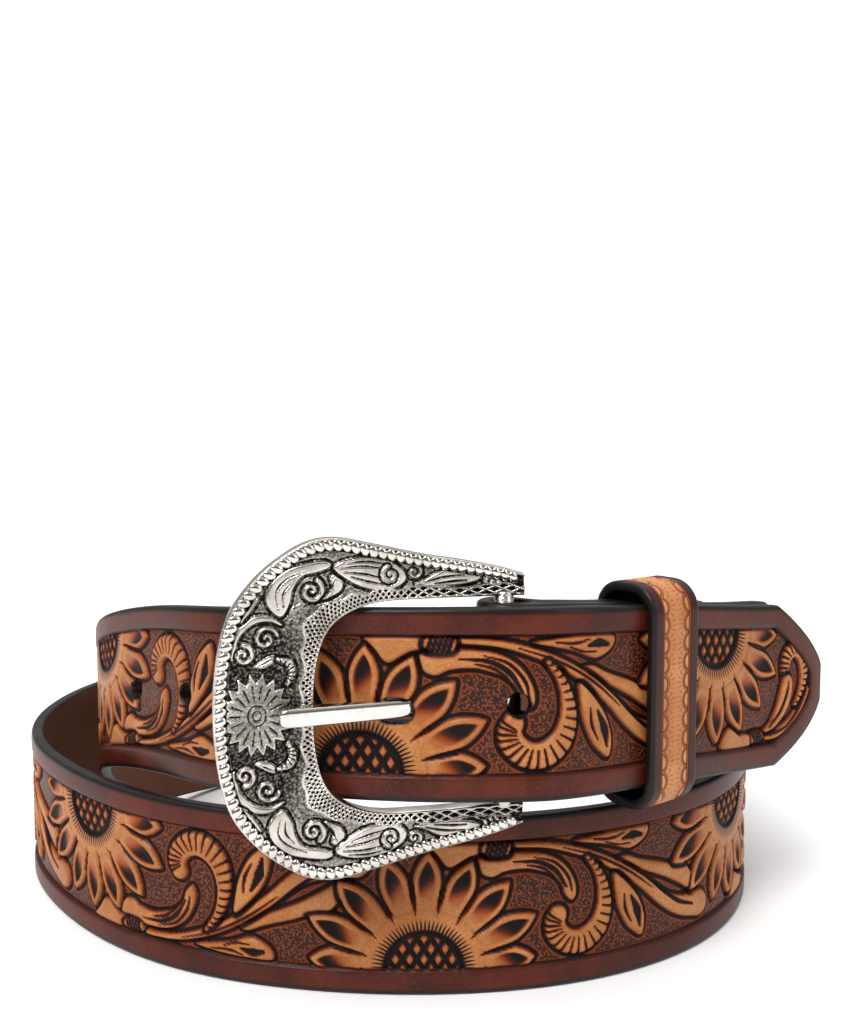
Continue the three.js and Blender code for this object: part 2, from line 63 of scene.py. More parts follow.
# %% Camera
CAMERA_PLACE = (0.00569, -0.29656, 0.1203)
CAMERA_DOWN = math.radians(4.78)
CAMERA_LENS = 38.67

camera_data = bpy.data.cameras.new("camera")
camera_data.lens = CAMERA_LENS
camera_data.sensor_width = 36.0
camera_data.clip_start = 0.01
camera_data.clip_end = 20.0
camera = bpy.data.objects.new("camera", camera_data)
camera.location = CAMERA_PLACE
camera.rotation_euler = (math.pi / 2 - CAMERA_DOWN, 0.0, 0.0)
bpy.context.scene.collection.objects.link(camera)
bpy.context.scene.camera = camera
print("camera at", CAMERA_PLACE, "lens", CAMERA_LENS)

# %% [markdown]
# ## The strap's path
# A belt this long lies in a coil of two turns. One way to make it is a curve object with a
# profile, but then the tooling could not follow the leather. Here the path is worked out as
# numbers: for each distance from the tip it gives a point, the direction into the coil and
# a height. Any pattern drawn flat can then be wrapped onto the strap without stretching.

# %% Sizes of the strap
STRAP_WIDTH = 38.1
STRAP_THICKNESS = 3.0
STRAP_EDGE = 0.85  # radius of the burnished edges
TIP_LENGTH = 20.0
TIP_NOSE_SHARE = 0.2
HOLE_RADIUS = 2.4
HOLE_SPACING = 25.4
FIRST_HOLE = 99.0
HOLE_COUNT = 5
LAYER_GAP = 1.7
FOLD_GAP = 0.5
FOLD_LENGTH = 64.0
FOLD_TAPER = 12.0
BAR_TO_HOLE = 23.6
BAR_RADIUS = 2.0
BAR_CLEARANCE = 0.4
COIL_RADIUS = 92.0
PATH_STEP = 0.3
FOLD_TURN_POINTS = 60
UNDER_OFFSET = STRAP_THICKNESS + LAYER_GAP
FOLD_RADIUS = BAR_RADIUS + BAR_CLEARANCE + STRAP_THICKNESS
BAR_STATION = FIRST_HOLE + HOLE_SPACING - BAR_TO_HOLE

# bearing in degrees from the front over the left, reach and lift as shares
TIP_PASS = [
    (-73, 1.266, 0.99), (-64, 1.161, 1.035), (-54, 1.094, 1.09), (-45, 1.07, 1.14),
    (-36, 1.061, 1.178), (-25, 1.072, 1.215), (-16, 1.038, 1.222), (-7, 0.993, 1.215),
    (7, 0.925, 1.19), (21, 0.873, 1.15), (33, 0.815, 1.105), (49, 0.775, 1.02),
]
INNER_TURN = [
    (67, 0.785, 0.87), (90, 0.795, 0.52), (120, 0.815, 0.08), (150, 0.86, 0),
    (172, 0.905, 0), (200, 0.955, 0), (230, 1.02, 0), (255, 1.075, 0), (286, 1.079, 0),
    (300, 1.049, 0), (317, 0.981, 0), (334, 0.905, 0), (355, 0.841, 0),
]
OUTER_TURN = [
    (369, 0.826, 0), (383, 0.832, 0), (397, 0.85, 0), (412, 0.878, 0), (427, 0.924, 0),
    (441, 0.982, 0), (462, 1.049, 0), (476, 1.079, 0), (500, 1.075, 0), (525, 1.03, 0),
]
# bearing, spare room outside the inner turn, lift
RISING_TURN = [
    (548, 0.05, 0), (566, 0.018, 0.06), (584, 0.011, 0.21), (602, 0.009, 0.39),
    (618, 0.008, 0.58), (634, 0.008, 0.8), (650, 0.012, 1.01),
]
JOIN_BEARINGS = [-56, -50, -44, -38]


# %% Curves through a table
def natural_spline(xs, ys):
    """A smooth curve through the points."""
    last = len(xs) - 1
    bend = np.zeros(last + 1)
    carry = np.zeros(last + 1)
    for i in range(1, last):
        before, after = xs[i] - xs[i - 1], xs[i + 1] - xs[i]
        share = before / (before + after)
        pivot = share * bend[i - 1] + 2
        change = (ys[i + 1] - ys[i]) / after - (ys[i] - ys[i - 1]) / before
        bend[i] = (share - 1) / pivot
        carry[i] = (6 * change / (before + after) - share * carry[i - 1]) / pivot
    bend[last] = 0
    for i in range(last - 1, -1, -1):
        bend[i] = bend[i] * bend[i + 1] + carry[i]

    def curve(x):
        x = np.asarray(x, float)
        i = np.clip(np.searchsorted(xs, x) - 1, 0, last - 1)
        span = xs[i + 1] - xs[i]
        a = (xs[i + 1] - x) / span
        b = 1 - a
        sag = (a**3 - a) * bend[i] + (b**3 - b) * bend[i + 1]
        return a * ys[i] + b * ys[i + 1] + sag * span**2 / 6

    return curve


def steady_curve(xs, ys):
    """A curve that never overshoots its points, so that what lies flat stays flat."""
    last = len(xs) - 1
    rise = np.diff(ys) / np.diff(xs)
    slope = np.zeros(last + 1)
    for i in range(1, last):
        if rise[i - 1] * rise[i] > 0:
            slope[i] = 2 * rise[i - 1] * rise[i] / (rise[i - 1] + rise[i])

    def curve(x):
        x = np.asarray(x, float)
        i = np.clip(np.searchsorted(xs, x) - 1, 0, last - 1)
        span = xs[i + 1] - xs[i]
        t = (x - xs[i]) / span
        ends = t * (1 - t) ** 2 * slope[i] + t * t * (t - 1) * slope[i + 1]
        return ys[i] + (ys[i + 1] - ys[i]) * t * t * (3 - 2 * t) + ends * span

    return curve


def smooth_step(x, low, high):
    t = np.clip((x - low) / (high - low), 0, 1)
    return t * t * (3 - 2 * t)


# %% Walking along the path
BEARING_STEP = 0.1


def walk(rows, last_bearing):
    """Points of the grain side along a table of rows, with the distance walked."""
    rows = np.array(rows, float)
    reach = natural_spline(rows[:, 0], rows[:, 1])
    lift = steady_curve(rows[:, 0], rows[:, 2])
    bearing = np.arange(rows[0, 0], last_bearing + BEARING_STEP / 2, BEARING_STEP)
    turn, out = np.radians(bearing), reach(bearing) * COIL_RADIUS
    point = np.stack([-np.sin(turn) * out, -np.cos(turn) * out], 1)
    height = lift(bearing) * STRAP_WIDTH
    steps = np.hypot(np.hypot(*np.diff(point, axis=0).T), np.diff(height))
    walked = np.concatenate([[0], np.cumsum(steps)])
    along = np.gradient(point, axis=0)
    along /= np.linalg.norm(along, axis=1)[:, None]
    return {
        "bearing": bearing, "walked": walked, "point": point, "height": height,
        "along": along, "inward": np.stack([along[:, 1], -along[:, 0]], 1), "reach": reach,
    }


def at_distance(path, distance):
    """Point, along, inward and height of a path at one or more distances."""
    found = {}
    for name in ("point", "along", "inward"):
        found[name] = np.stack(
            [np.interp(distance, path["walked"], path[name][:, i]) for i in (0, 1)], -1
        )
    found["height"] = np.interp(distance, path["walked"], path["height"])
    return found


visible_rows = TIP_PASS + INNER_TURN + OUTER_TURN
tip_path = walk(visible_rows, OUTER_TURN[0][0])


def behind_tip(distance, depth):
    place = at_distance(tip_path, distance)
    place["point"] = place["point"] + place["inward"] * np.asarray(depth)[..., None]
    return place


rising_rows = [
    (b, float(tip_path["reach"](b - 360)) + STRAP_THICKNESS / COIL_RADIUS + spare, lift)
    for b, spare, lift in RISING_TURN
]
join_rows = []
for join_bearing in JOIN_BEARINGS:
    station = np.interp(join_bearing, tip_path["bearing"], tip_path["walked"])
    under = behind_tip(station, UNDER_OFFSET)
    ux, uy = under["point"]
    join_rows.append((
        math.degrees(math.atan2(-ux, -uy)) + 720, math.hypot(ux, uy) / COIL_RADIUS,
        float(under["height"]) / STRAP_WIDTH,
    ))
whole_path = walk(visible_rows + rising_rows + join_rows, join_rows[-1][0])
settled = float(np.interp(JOIN_BEARINGS[-1], tip_path["bearing"], tip_path["walked"]))
print("length of the free strap", round(whole_path["walked"][-1], 1), "mm")

# %% The fold round the buckle's bar
bar_place = behind_tip(BAR_STATION, 0.0)
bar_axis = bar_place["point"] + bar_place["inward"] * (UNDER_OFFSET + FOLD_RADIUS)
strap_middle = float(bar_place["height"]) + STRAP_WIDTH / 2


def fold_depth(from_bar):
    closed = 2 * STRAP_THICKNESS + FOLD_GAP
    share = smooth_step(from_bar, 0, FOLD_TAPER)
    return 2 * FOLD_RADIUS + (closed - 2 * FOLD_RADIUS) * share


under_place = behind_tip(np.arange(settled + PATH_STEP, BAR_STATION, PATH_STEP), UNDER_OFFSET)
turn_angle = np.linspace(0, math.pi, FOLD_TURN_POINTS)[:, None]
turn_out = (
    bar_place["along"] * np.sin(turn_angle) - bar_place["inward"] * np.cos(turn_angle)
)
from_bar = np.arange(PATH_STEP, FOLD_LENGTH, PATH_STEP)
back_place = behind_tip(BAR_STATION - from_bar, UNDER_OFFSET + fold_depth(from_bar))

spine_point = np.concatenate([
    whole_path["point"], under_place["point"], bar_axis + turn_out * FOLD_RADIUS,
    back_place["point"],
])
spine_inward = np.concatenate([
    whole_path["inward"], under_place["inward"], -turn_out, -back_place["inward"],
])
spine_lift = np.concatenate([
    whole_path["height"], under_place["height"],
    np.full(len(turn_out), float(bar_place["height"])), back_place["height"],
])
spine_steps = np.hypot(np.hypot(*np.diff(spine_point, axis=0).T), np.diff(spine_lift))
spine_walked = np.concatenate([[0], np.cumsum(spine_steps)])
STRAP_LENGTH = float(spine_walked[-1])
before_turn = len(whole_path["walked"]) + len(under_place["height"])
BAR_WALKED = float(spine_walked[before_turn + FOLD_TURN_POINTS // 2])

# The frame was centred after it was built, so the path moves to the solid's own middle.
solid_low, solid_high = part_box("strap")
flesh_point = spine_point + spine_inward * STRAP_THICKNESS
every_point = np.concatenate([spine_point, flesh_point])
coil_shift = np.array([
    (solid_low[i] + solid_high[i]) / 2 / MM
    - (every_point[:, i].min() + every_point[:, i].max()) / 2
    for i in (0, 1)
])
spine_point = spine_point + coil_shift
print("strap from tip to fold end", round(STRAP_LENGTH, 1), "mm, shift", coil_shift.round(3))

# %% [markdown]
# ## The tooling
# A carver cuts the outlines, bevels the ground down around them and stamps it rough. The
# design repeats every 84 mm and flips over from one flower to the next. Drawing it as
# distances does the same job: each shape gives how far a point lies inside its outline,
# and from that come the height, the tan dye and the dark antique paste. The drawing is
# made once on a fine flat grid, one unit long, and the strap looks its values up in it.

# %% Distances to drawn lines
TILE_STEP = 0.125
FIELD_HEIGHT = 27.3
UNIT_LENGTH = 84.0
TIP_UNIT_LENGTH = 44.0
GROUND_DEPTH = 0.75


def through(points, per_span=6, closed=False):
    """More points on a smooth line through a few."""
    p = np.array(points, float)
    if closed:
        p = np.concatenate([p[-1:], p, p[:2]])
    else:
        p = np.concatenate([2 * p[:1] - p[1:2], p, 2 * p[-1:] - p[-2:-1]])
    t = np.linspace(0, 1, per_span, endpoint=False)[:, None]
    parts = []
    for i in range(1, len(p) - 2):
        a, b, c, d = p[i - 1], p[i], p[i + 1], p[i + 2]
        parts.append(
            0.5 * (2 * b + (c - a) * t + (2 * a - 5 * b + 4 * c - d) * t**2
                   + (3 * b - a - 3 * c + d) * t**3)
        )
    if not closed:
        parts.append(p[-2:-1])
    return np.concatenate(parts)


def line_distance(x, y, line):
    """Distance to an open line, and how far along it the nearest point lies, 0 to 1."""
    best = np.full(x.shape, 1e9)
    share = np.zeros(x.shape)
    count = len(line) - 1
    for i in range(count):
        ax, ay = line[i]
        bx, by = line[i + 1] - line[i]
        size = bx * bx + by * by + 1e-12
        t = np.clip(((x - ax) * bx + (y - ay) * by) / size, 0, 1)
        d = (x - ax - t * bx) ** 2 + (y - ay - t * by) ** 2
        nearer = d < best
        best = np.where(nearer, d, best)
        share = np.where(nearer, (i + t) / count, share)
    return np.sqrt(best), share


def inside_distance(x, y, line):
    """Distance into a closed shape, below zero outside it."""
    ring = np.concatenate([line, line[:1]])
    d, _ = line_distance(x, y, ring)
    odd = np.zeros(x.shape, bool)
    for (ax, ay), (bx, by) in zip(ring[:-1], ring[1:]):
        if ay != by:
            crosses = ((ay > y) != (by > y)) & (x < (bx - ax) * (y - ay) / (by - ay) + ax)
            odd ^= crosses
    return np.where(odd, d, -d)


# %% A flat tile to draw on
def blank_tile(low, high, step=TILE_STEP, ground=-GROUND_DEPTH):
    x, y = np.meshgrid(
        np.arange(low[0], high[0], step), np.arange(low[1], high[1], step), indexing="ij"
    )
    return {
        "low": low, "step": step, "x": x, "y": y, "height": np.full(x.shape, ground),
        "tan": np.zeros(x.shape), "burn": np.zeros(x.shape), "matte": np.ones(x.shape),
    }


def window_of(tile, line, margin=2.5):
    low, high = np.min(line, 0) - margin, np.max(line, 0) + margin
    a = np.clip(((low - tile["low"]) / tile["step"]).astype(int), 0, None)
    b = np.clip(((high - tile["low"]) / tile["step"]).astype(int) + 1, 1, None)
    return slice(a[0], b[0]), slice(a[1], b[1])


def raise_shape(tile, window, d):
    """Leaves a shape standing at the strap's surface and bevels the ground around it."""
    body = smooth_step(d, -0.1, 0.15)
    cut = np.exp(-(np.clip(np.abs(d + 0.5) - 0.22, 0, 9) / 0.3) ** 2) * (1 - body)
    shade = np.exp(np.minimum(d, 0)) * (1 - body)
    crown = -0.42 * (1 - smooth_step(d, 0, 0.8))
    height = tile["height"][window] - 0.3 * cut - 0.1 * shade
    tile["height"][window] = height * (1 - body) + crown * body
    tile["tan"][window] = tile["tan"][window] * (1 - body) * (1 - cut) + body
    burn = np.maximum(tile["burn"][window], np.maximum(cut, 0.5 * shade)) * (1 - body)
    lip = 0.35 * (1 - smooth_step(d, 0.0, 0.5))
    tile["burn"][window] = burn + lip * body
    tile["matte"][window] = tile["matte"][window] * (1 - body) * (1 - cut)


def width_at(share, widths):
    """Half the width of a line that swells and tapers, at a share of its length."""
    return np.interp(share, np.linspace(0, 1, len(widths)), widths) / 2


def cut_line(tile, line, widths, depth=0.35):
    """A cut that tapers, pressed into whatever is there."""
    window = window_of(tile, line, 2.0)
    d, share = line_distance(tile["x"][window], tile["y"][window], line)
    mark = smooth_step(width_at(share, widths) - d, -0.16, 0.14)
    tile["height"][window] -= depth * mark
    tile["burn"][window] = np.maximum(tile["burn"][window], mark)
    tile["matte"][window] *= 1 - mark


def draw_vein(tile, points, widths, depth=0.35):
    cut_line(tile, through(points), widths, depth)


def draw_stem(tile, points, widths, crisp=1.0, margin=3.0):
    """A stem along its middle line; crisp makes its bevels narrower."""
    line = through(points)
    window = window_of(tile, line, margin)
    d, share = line_distance(tile["x"][window], tile["y"][window], line)
    raise_shape(tile, window, (width_at(share, widths) - d) * crisp)


def draw_leaf(tile, points, crisp=1.0):
    """A leaf inside its outline."""
    line = through(points, 4, closed=True)
    window = window_of(tile, line)
    raise_shape(tile, window, inside_distance(tile["x"][window], tile["y"][window], line) * crisp)


print("a drawing holds", ", ".join(sorted(blank_tile((0, 0), (1, 1)))))

# %% [markdown]
# ## Sunflower, scrolls and leaves
# Half a sunflower grows from one border, with a crosshatched seed disc and petals that are
# hollowed and burnt dark. Between two flowers run a forked stem, a curled ring of rays and
# leaves. Every outline is a few points on a smooth line, so a shape can be mended by moving
# one point, which an image texture wouldn't allow.

# %% The sunflower
SEED_RADIUS = 8.2
HAIR_RADIUS = 11.3
RING_RADIUS = 13.4
SEED_WIDE = 3.0
SEED_TALL = 4.6
PETALS = [
    (4, 24.2), (24, 26.6), (45, 26.0), (66, 25.6), (88, 25.6), (109, 25.4),
    (134, 26.2), (156, 26.8), (176, 24.4),
]
PETAL_HALVES = [(0.0, 2.2), (0.2, 2.75), (0.42, 3.05), (0.62, 2.8), (0.8, 1.9), (0.93, 0.8)]


def petal_outline(angle, reach):
    """Outline of one petal that points away from the flower's middle."""
    turn = math.radians(angle)
    out = np.array([math.cos(turn), math.sin(turn)])
    side = np.array([-out[1], out[0]])
    span = reach - RING_RADIUS + 0.4
    right = [out * (reach - span * (1 - t)) - side * w for t, w in PETAL_HALVES]
    left = [out * (reach - span * (1 - t)) + side * w for t, w in reversed(PETAL_HALVES)]
    return np.concatenate([
        through(right + [out * reach], 4), through([out * reach] + left, 4)[1:],
    ])


def draw_flower(tile, middle, flip):
    """A half sunflower on the lower border, or on the upper one where flip is set."""
    window = window_of(tile, np.array([[middle - 30, 0.0], [middle + 30, FIELD_HEIGHT]]))
    x = tile["x"][window] - middle
    y = FIELD_HEIGHT - tile["y"][window] if flip else tile["y"][window]
    r = np.hypot(x, y)
    body = RING_RADIUS - r
    petals = []
    for angle, reach in PETALS:
        d = inside_distance(x, y, petal_outline(angle, reach))
        petals.append(d)
        body = np.maximum(body, d)
    raise_shape(tile, window, body)
    height, burn, tan = (tile[name][window] for name in ("height", "burn", "tan"))
    for (angle, reach), d in zip(PETALS, petals):
        turn = math.radians(angle)
        out = x * math.cos(turn) + y * math.sin(turn)
        across = y * math.cos(turn) - x * math.sin(turn)
        hollow = smooth_step(d, 0.8, 1.7) * smooth_step(out, RING_RADIUS - 0.6, RING_RADIUS + 3)
        dark = smooth_step(out + 0.9 * across, RING_RADIUS + 2.6, RING_RADIUS + 8.0)
        height -= 0.6 * hollow * (0.45 + 0.55 * dark)
        burn[:] = np.maximum(burn, hollow * (0.26 + 0.74 * dark))
    disc = smooth_step(SEED_RADIUS + 0.3 - r, -0.2, 0.2)
    ring = np.exp(-(((r - SEED_RADIUS - 0.3) / 0.45) ** 2))
    a = np.abs((x / SEED_WIDE + y / SEED_TALL) % 1.0 - 0.5)
    b = np.abs((x / SEED_WIDE - y / SEED_TALL) % 1.0 - 0.5)
    seed = smooth_step(0.5 - np.maximum(a, b), 0.16, 0.28)
    seed = seed * smooth_step(SEED_RADIUS - 0.9 - r, -0.5, 0.3)
    height[:] = height * (1 - disc) + disc * (-0.8 + 0.5 * seed)
    burn[:] = np.maximum(burn * (1 - disc) + disc * (1 - 0.78 * seed), 0.9 * ring)
    hair_band = smooth_step(HAIR_RADIUS - r, -0.2, 1.6) * (1 - disc)
    height -= 0.22 * hair_band
    burn[:] = np.maximum(burn, 0.2 * hair_band)
    # cuts between the petals run on into the ring
    for (first, _), (second, _) in zip(PETALS[:-1], PETALS[1:]):
        turn = math.radians((first + second) / 2)
        out = x * math.cos(turn) + y * math.sin(turn)
        across = np.abs(y * math.cos(turn) - x * math.sin(turn))
        swell = (out - RING_RADIUS + 1.6) / 4.0
        cut = smooth_step(0.55 * np.clip(swell, 0, 1) - across, -0.2, 0.1) * (swell > 0)
        cut = cut * (out < RING_RADIUS + 7.5) * smooth_step(body, -0.3, 0.1)
        height -= 0.4 * cut
        burn[:] = np.maximum(burn, 0.95 * cut)
    tan[:] = np.maximum(tan, disc * seed)
    tile["height"][window], tile["burn"][window], tile["tan"][window] = height, burn, tan


# %% Scrolls and leaves of one unit
def draw_scroll(tile, centre, middle, widths, rays, ray_share=0.6):
    """A ring that curls up, with rays cut into its outer side."""
    line = through(centre)
    draw_stem(tile, centre, widths, margin=3.0 + max(widths) / 2)
    count = len(line) - 1
    for i in range(rays):
        share = (i + 0.6) / (rays + 0.6)
        at = share * count
        k = min(int(at), count - 1)
        point = line[k] + (line[k + 1] - line[k]) * (at - k)
        along = line[k + 1] - line[k]
        along = along / np.hypot(*along)
        out = np.array([along[1], -along[0]])
        if np.dot(out, point - middle) < 0:
            out = -out
        half = width_at(share, widths)
        start = point + out * (half + 0.1)
        end = point + out * (half - 2 * half * ray_share) - along * 0.25
        cut_line(tile, np.array([start, end]), [0.62, 0.32], 0.4)


def draw_collar(tile, middle, length, height, rings, slant):
    """A short bud neck with dark rings."""
    x0, y0 = middle
    draw_leaf(tile, [
        (x0 - length / 2, y0 - height / 2), (x0 + length / 2, y0 - height / 2),
        (x0 + length / 2, y0 + height / 2), (x0 - length / 2, y0 + height / 2),
    ])
    for i in range(rings):
        at = x0 + length * ((i + 0.5) / rings - 0.5)
        line = np.array([[at - slant, y0 - height / 2 - 0.3], [at + slant, y0 + height / 2 + 0.3]])
        cut_line(tile, line, [0.7, 0.85, 0.7], 0.4)


def draw_unit(tile):
    """Everything between one flower and the next."""
    # leaf along the far border
    draw_leaf(tile, [
        (33.0, 25.9), (40.0, 26.8), (46.0, 27.2), (51.0, 27.2), (51.8, 25.8), (50.3, 23.8),
        (46.6, 22.4), (41.8, 24.0), (37.0, 25.0),
    ])
    draw_vein(tile, [(44.4, 25.0), (47.2, 25.5), (49.6, 25.2)], [0.4, 2.0, 0.9], 0.45)
    draw_vein(tile, [(37.4, 25.9), (41.6, 25.6), (45.0, 26.4)], [0.3, 0.6, 0.3])
    draw_vein(tile, [(40.4, 24.9), (43.4, 23.9), (46.4, 23.8)], [0.3, 0.5, 0.3])
    # main stem, which forks
    draw_leaf(tile, [
        (43.8, 20.2), (47.5, 18.6), (50.4, 16.9), (57.1, 13.9), (62.9, 10.6), (66.5, 8.4),
        (68.5, 9.6), (64.8, 14.5), (62.4, 17.6), (60.3, 16.2), (56, 17.6), (50, 19.4), (46, 21.0),
    ])
    draw_stem(
        tile,
        [(17.6, 26.3), (26.3, 25.7), (33.0, 24.0), (39.4, 21.3), (45.7, 17.6), (51.4, 13.4),
         (57.0, 8.8), (63.0, 5.8), (69.4, 4.6)],
        [1.1, 1.3, 1.7, 2.0, 2.3, 2.6, 3.2, 4.6, 6.2], margin=6.1,
    )
    draw_vein(tile, [(30, 25.0), (38, 22.2), (46, 17.8), (53, 12.6)], [0.2, 0.5, 0.6, 0.2])
    draw_vein(tile, [(52, 14.8), (57, 10.6), (61.5, 7.4), (66.5, 5.4)], [0.3, 0.8, 1.0, 0.5])
    # hanging bud
    draw_leaf(tile, [
        (42.8, 17.6), (43.2, 12.8), (44.2, 9.2), (46.2, 5.4), (48.2, 3.4), (50.3, 2.2),
        (51.2, 4.8), (50.8, 7.8), (49.2, 11.4), (46.0, 15.2),
    ])
    draw_vein(tile, [(49.6, 4.6), (48.9, 8.2), (47.0, 12.0)], [0.5, 2.1, 0.5], 0.45)
    draw_vein(tile, [(45.2, 12.6), (45.6, 9.2), (47.2, 6.0)], [0.3, 0.8, 0.3])
    # ring of rays
    draw_scroll(
        tile,
        [(36.0, 22.0), (38.4, 19.2), (40.0, 15.4), (40.4, 10.9), (38.9, 6.5), (35.4, 3.9),
         (31.8, 4.0), (29.2, 6.2), (28.7, 8.6), (29.3, 10.2)],
        np.array([34.6, 11.6]), [0.9, 1.7, 2.6, 3.7, 4.7, 5.2, 5.2, 5.0, 4.6, 4.0], 22, 0.74,
    )
    # comma leaf with its veins
    draw_leaf(tile, [
        (11.5, 23.6), (18.2, 24.6), (25.6, 24.0), (30.4, 21.4), (32.9, 17.7), (33.5, 14.6),
        (32.5, 13.0), (30.9, 14.4), (30.0, 17.0), (27.8, 19.2), (25.2, 20.2), (21.8, 21.0),
        (17.4, 20.7), (14.6, 19.6), (12.2, 20.6),
    ])
    draw_vein(tile, [(19.0, 22.9), (24.5, 22.4), (28.4, 20.2), (30.9, 16.4)], [0.3, 0.9, 1.1, 0.5])
    draw_vein(tile, [(22.0, 21.9), (25.6, 20.9), (28.4, 18.8)], [0.3, 0.7, 0.3])
    draw_vein(tile, [(23.6, 23.5), (28.2, 22.0), (31.3, 18.6), (32.2, 15.4)], [0.2, 0.6, 0.7, 0.3])
    # leaf that fills the corner over the petals, and the neck
    draw_leaf(tile, [
        (1.0, 27.1), (12.6, 27.1), (12.6, 25.0), (9.8, 24.2), (5.5, 22.0), (3.0, 24.4),
    ])
    draw_collar(tile, (15.4, 25.7), 5.0, 2.5, 5, 0.5)


# %% The unit and the pointed end
unit_tile = blank_tile((-1.0, -1.0), (UNIT_LENGTH + 1.0, FIELD_HEIGHT + 1.0))
draw_unit(unit_tile)
draw_flower(unit_tile, 0.0, False)
draw_flower(unit_tile, UNIT_LENGTH, True)

tip_tile = blank_tile((-1.0, -1.0), (TIP_UNIT_LENGTH + 1.0, FIELD_HEIGHT + 1.0))
draw_leaf(tip_tile, [
    (19.5, 25.8), (24.0, 26.2), (29.0, 24.9), (33.5, 21.8), (36.8, 17.8), (38.6, 14.4),
    (37.0, 14.4), (34.2, 18.0), (30.4, 21.4), (25.6, 23.8),
])
draw_vein(tip_tile, [(22.5, 25.2), (28.4, 23.5), (33.2, 20.0), (36.4, 16.2)], [0.3, 0.6, 0.6, 0.2])
draw_scroll(
    tip_tile,
    [(32.6, 18.4), (35.0, 14.8), (36.0, 10.8), (34.8, 6.8), (31.8, 5.0), (28.9, 6.8), (28.1, 9.8),
     (28.8, 11.4)],
    np.array([32.0, 10.4]), [0.9, 2.0, 3.0, 3.6, 3.8, 3.6, 3.0, 2.6], 19, 0.7,
)
draw_leaf(tip_tile, [
    (19.5, 24.4), (22.4, 22.2), (25.0, 18.4), (26.5, 14.4), (27.9, 11.6), (30.2, 11.2),
    (31.1, 13.4), (30.2, 17.4), (27.6, 21.0), (23.6, 23.8),
])
draw_vein(tip_tile, [(21.8, 23.4), (26.0, 19.6), (28.5, 15.4), (29.1, 12.6)], [0.3, 0.9, 0.9, 0.3])
draw_leaf(tip_tile, [(39.0, 13.0), (41.2, 12.2), (43.2, 13.6), (41.0, 15.4), (39.2, 14.8)])
draw_leaf(tip_tile, [(3.0, 27.1), (14.6, 27.1), (15.2, 24.6), (10.4, 24.0), (6.0, 22.4)])
draw_collar(tip_tile, (17.2, 25.3), 3.8, 2.5, 4, 0.5)
draw_flower(tip_tile, 0.0, False)
print("tooling drawn on", unit_tile["x"].shape, "and", tip_tile["x"].shape, "points")

# %% [markdown]
# ## From the flat drawing to the strap
# Flower middles are known by their distance from the tip. Between two of them the unit is
# fitted in, and every second one is flipped. Near the point the plain border follows the
# outline instead of the edge, as on the real belt, so the border is measured from the
# outline itself.

# %% Looking the tooling up
PLAIN_LENGTH = 84.0  # the buckle's end of the strap is left plain
FLOWER_SPACING = 86.0
FLOWERS = [43.7, 130.3, 219.6, 308.9, 398.2, 487.5, 576.8, 659.9, 744.3]
while FLOWERS[-1] < STRAP_LENGTH:
    FLOWERS.append(FLOWERS[-1] + FLOWER_SPACING)
FLOWERS = np.array(FLOWERS)
BORDER = 5.4
PLAIN_FROM = BAR_WALKED - PLAIN_LENGTH
print(len(FLOWERS), "flowers along the strap")


def tip_half(distance):
    share = np.sqrt(np.clip(distance / TIP_LENGTH + TIP_NOSE_SHARE**2, 0, 1))
    return share * STRAP_WIDTH / 2


def sample(tile, name, x, y):
    """Value between the tile's points."""
    i = np.clip((x - tile["low"][0]) / tile["step"], 0, tile["x"].shape[0] - 1.001)
    j = np.clip((y - tile["low"][1]) / tile["step"], 0, tile["x"].shape[1] - 1.001)
    a, b = i.astype(int), j.astype(int)
    s, t = i - a, j - b
    v = tile[name]
    low = v[a, b] * (1 - s) + v[a + 1, b] * s
    high = v[a, b + 1] * (1 - s) + v[a + 1, b + 1] * s
    return low * (1 - t) + high * t


def softened(tile, width):
    """A copy whose lines are spread a little, so that a coarser mesh doesn't break them up."""
    count = max(1, round(width / tile["step"]))
    weights = np.full(count, 1.0) / count
    soft = dict(tile)
    for name in ("height", "tan", "burn"):
        for axis in (0, 1):
            soft[name] = np.apply_along_axis(np.convolve, axis, soft[name], weights, "same")
    return soft


COARSE_STEP = 0.5
soft_unit_tile = softened(unit_tile, COARSE_STEP)


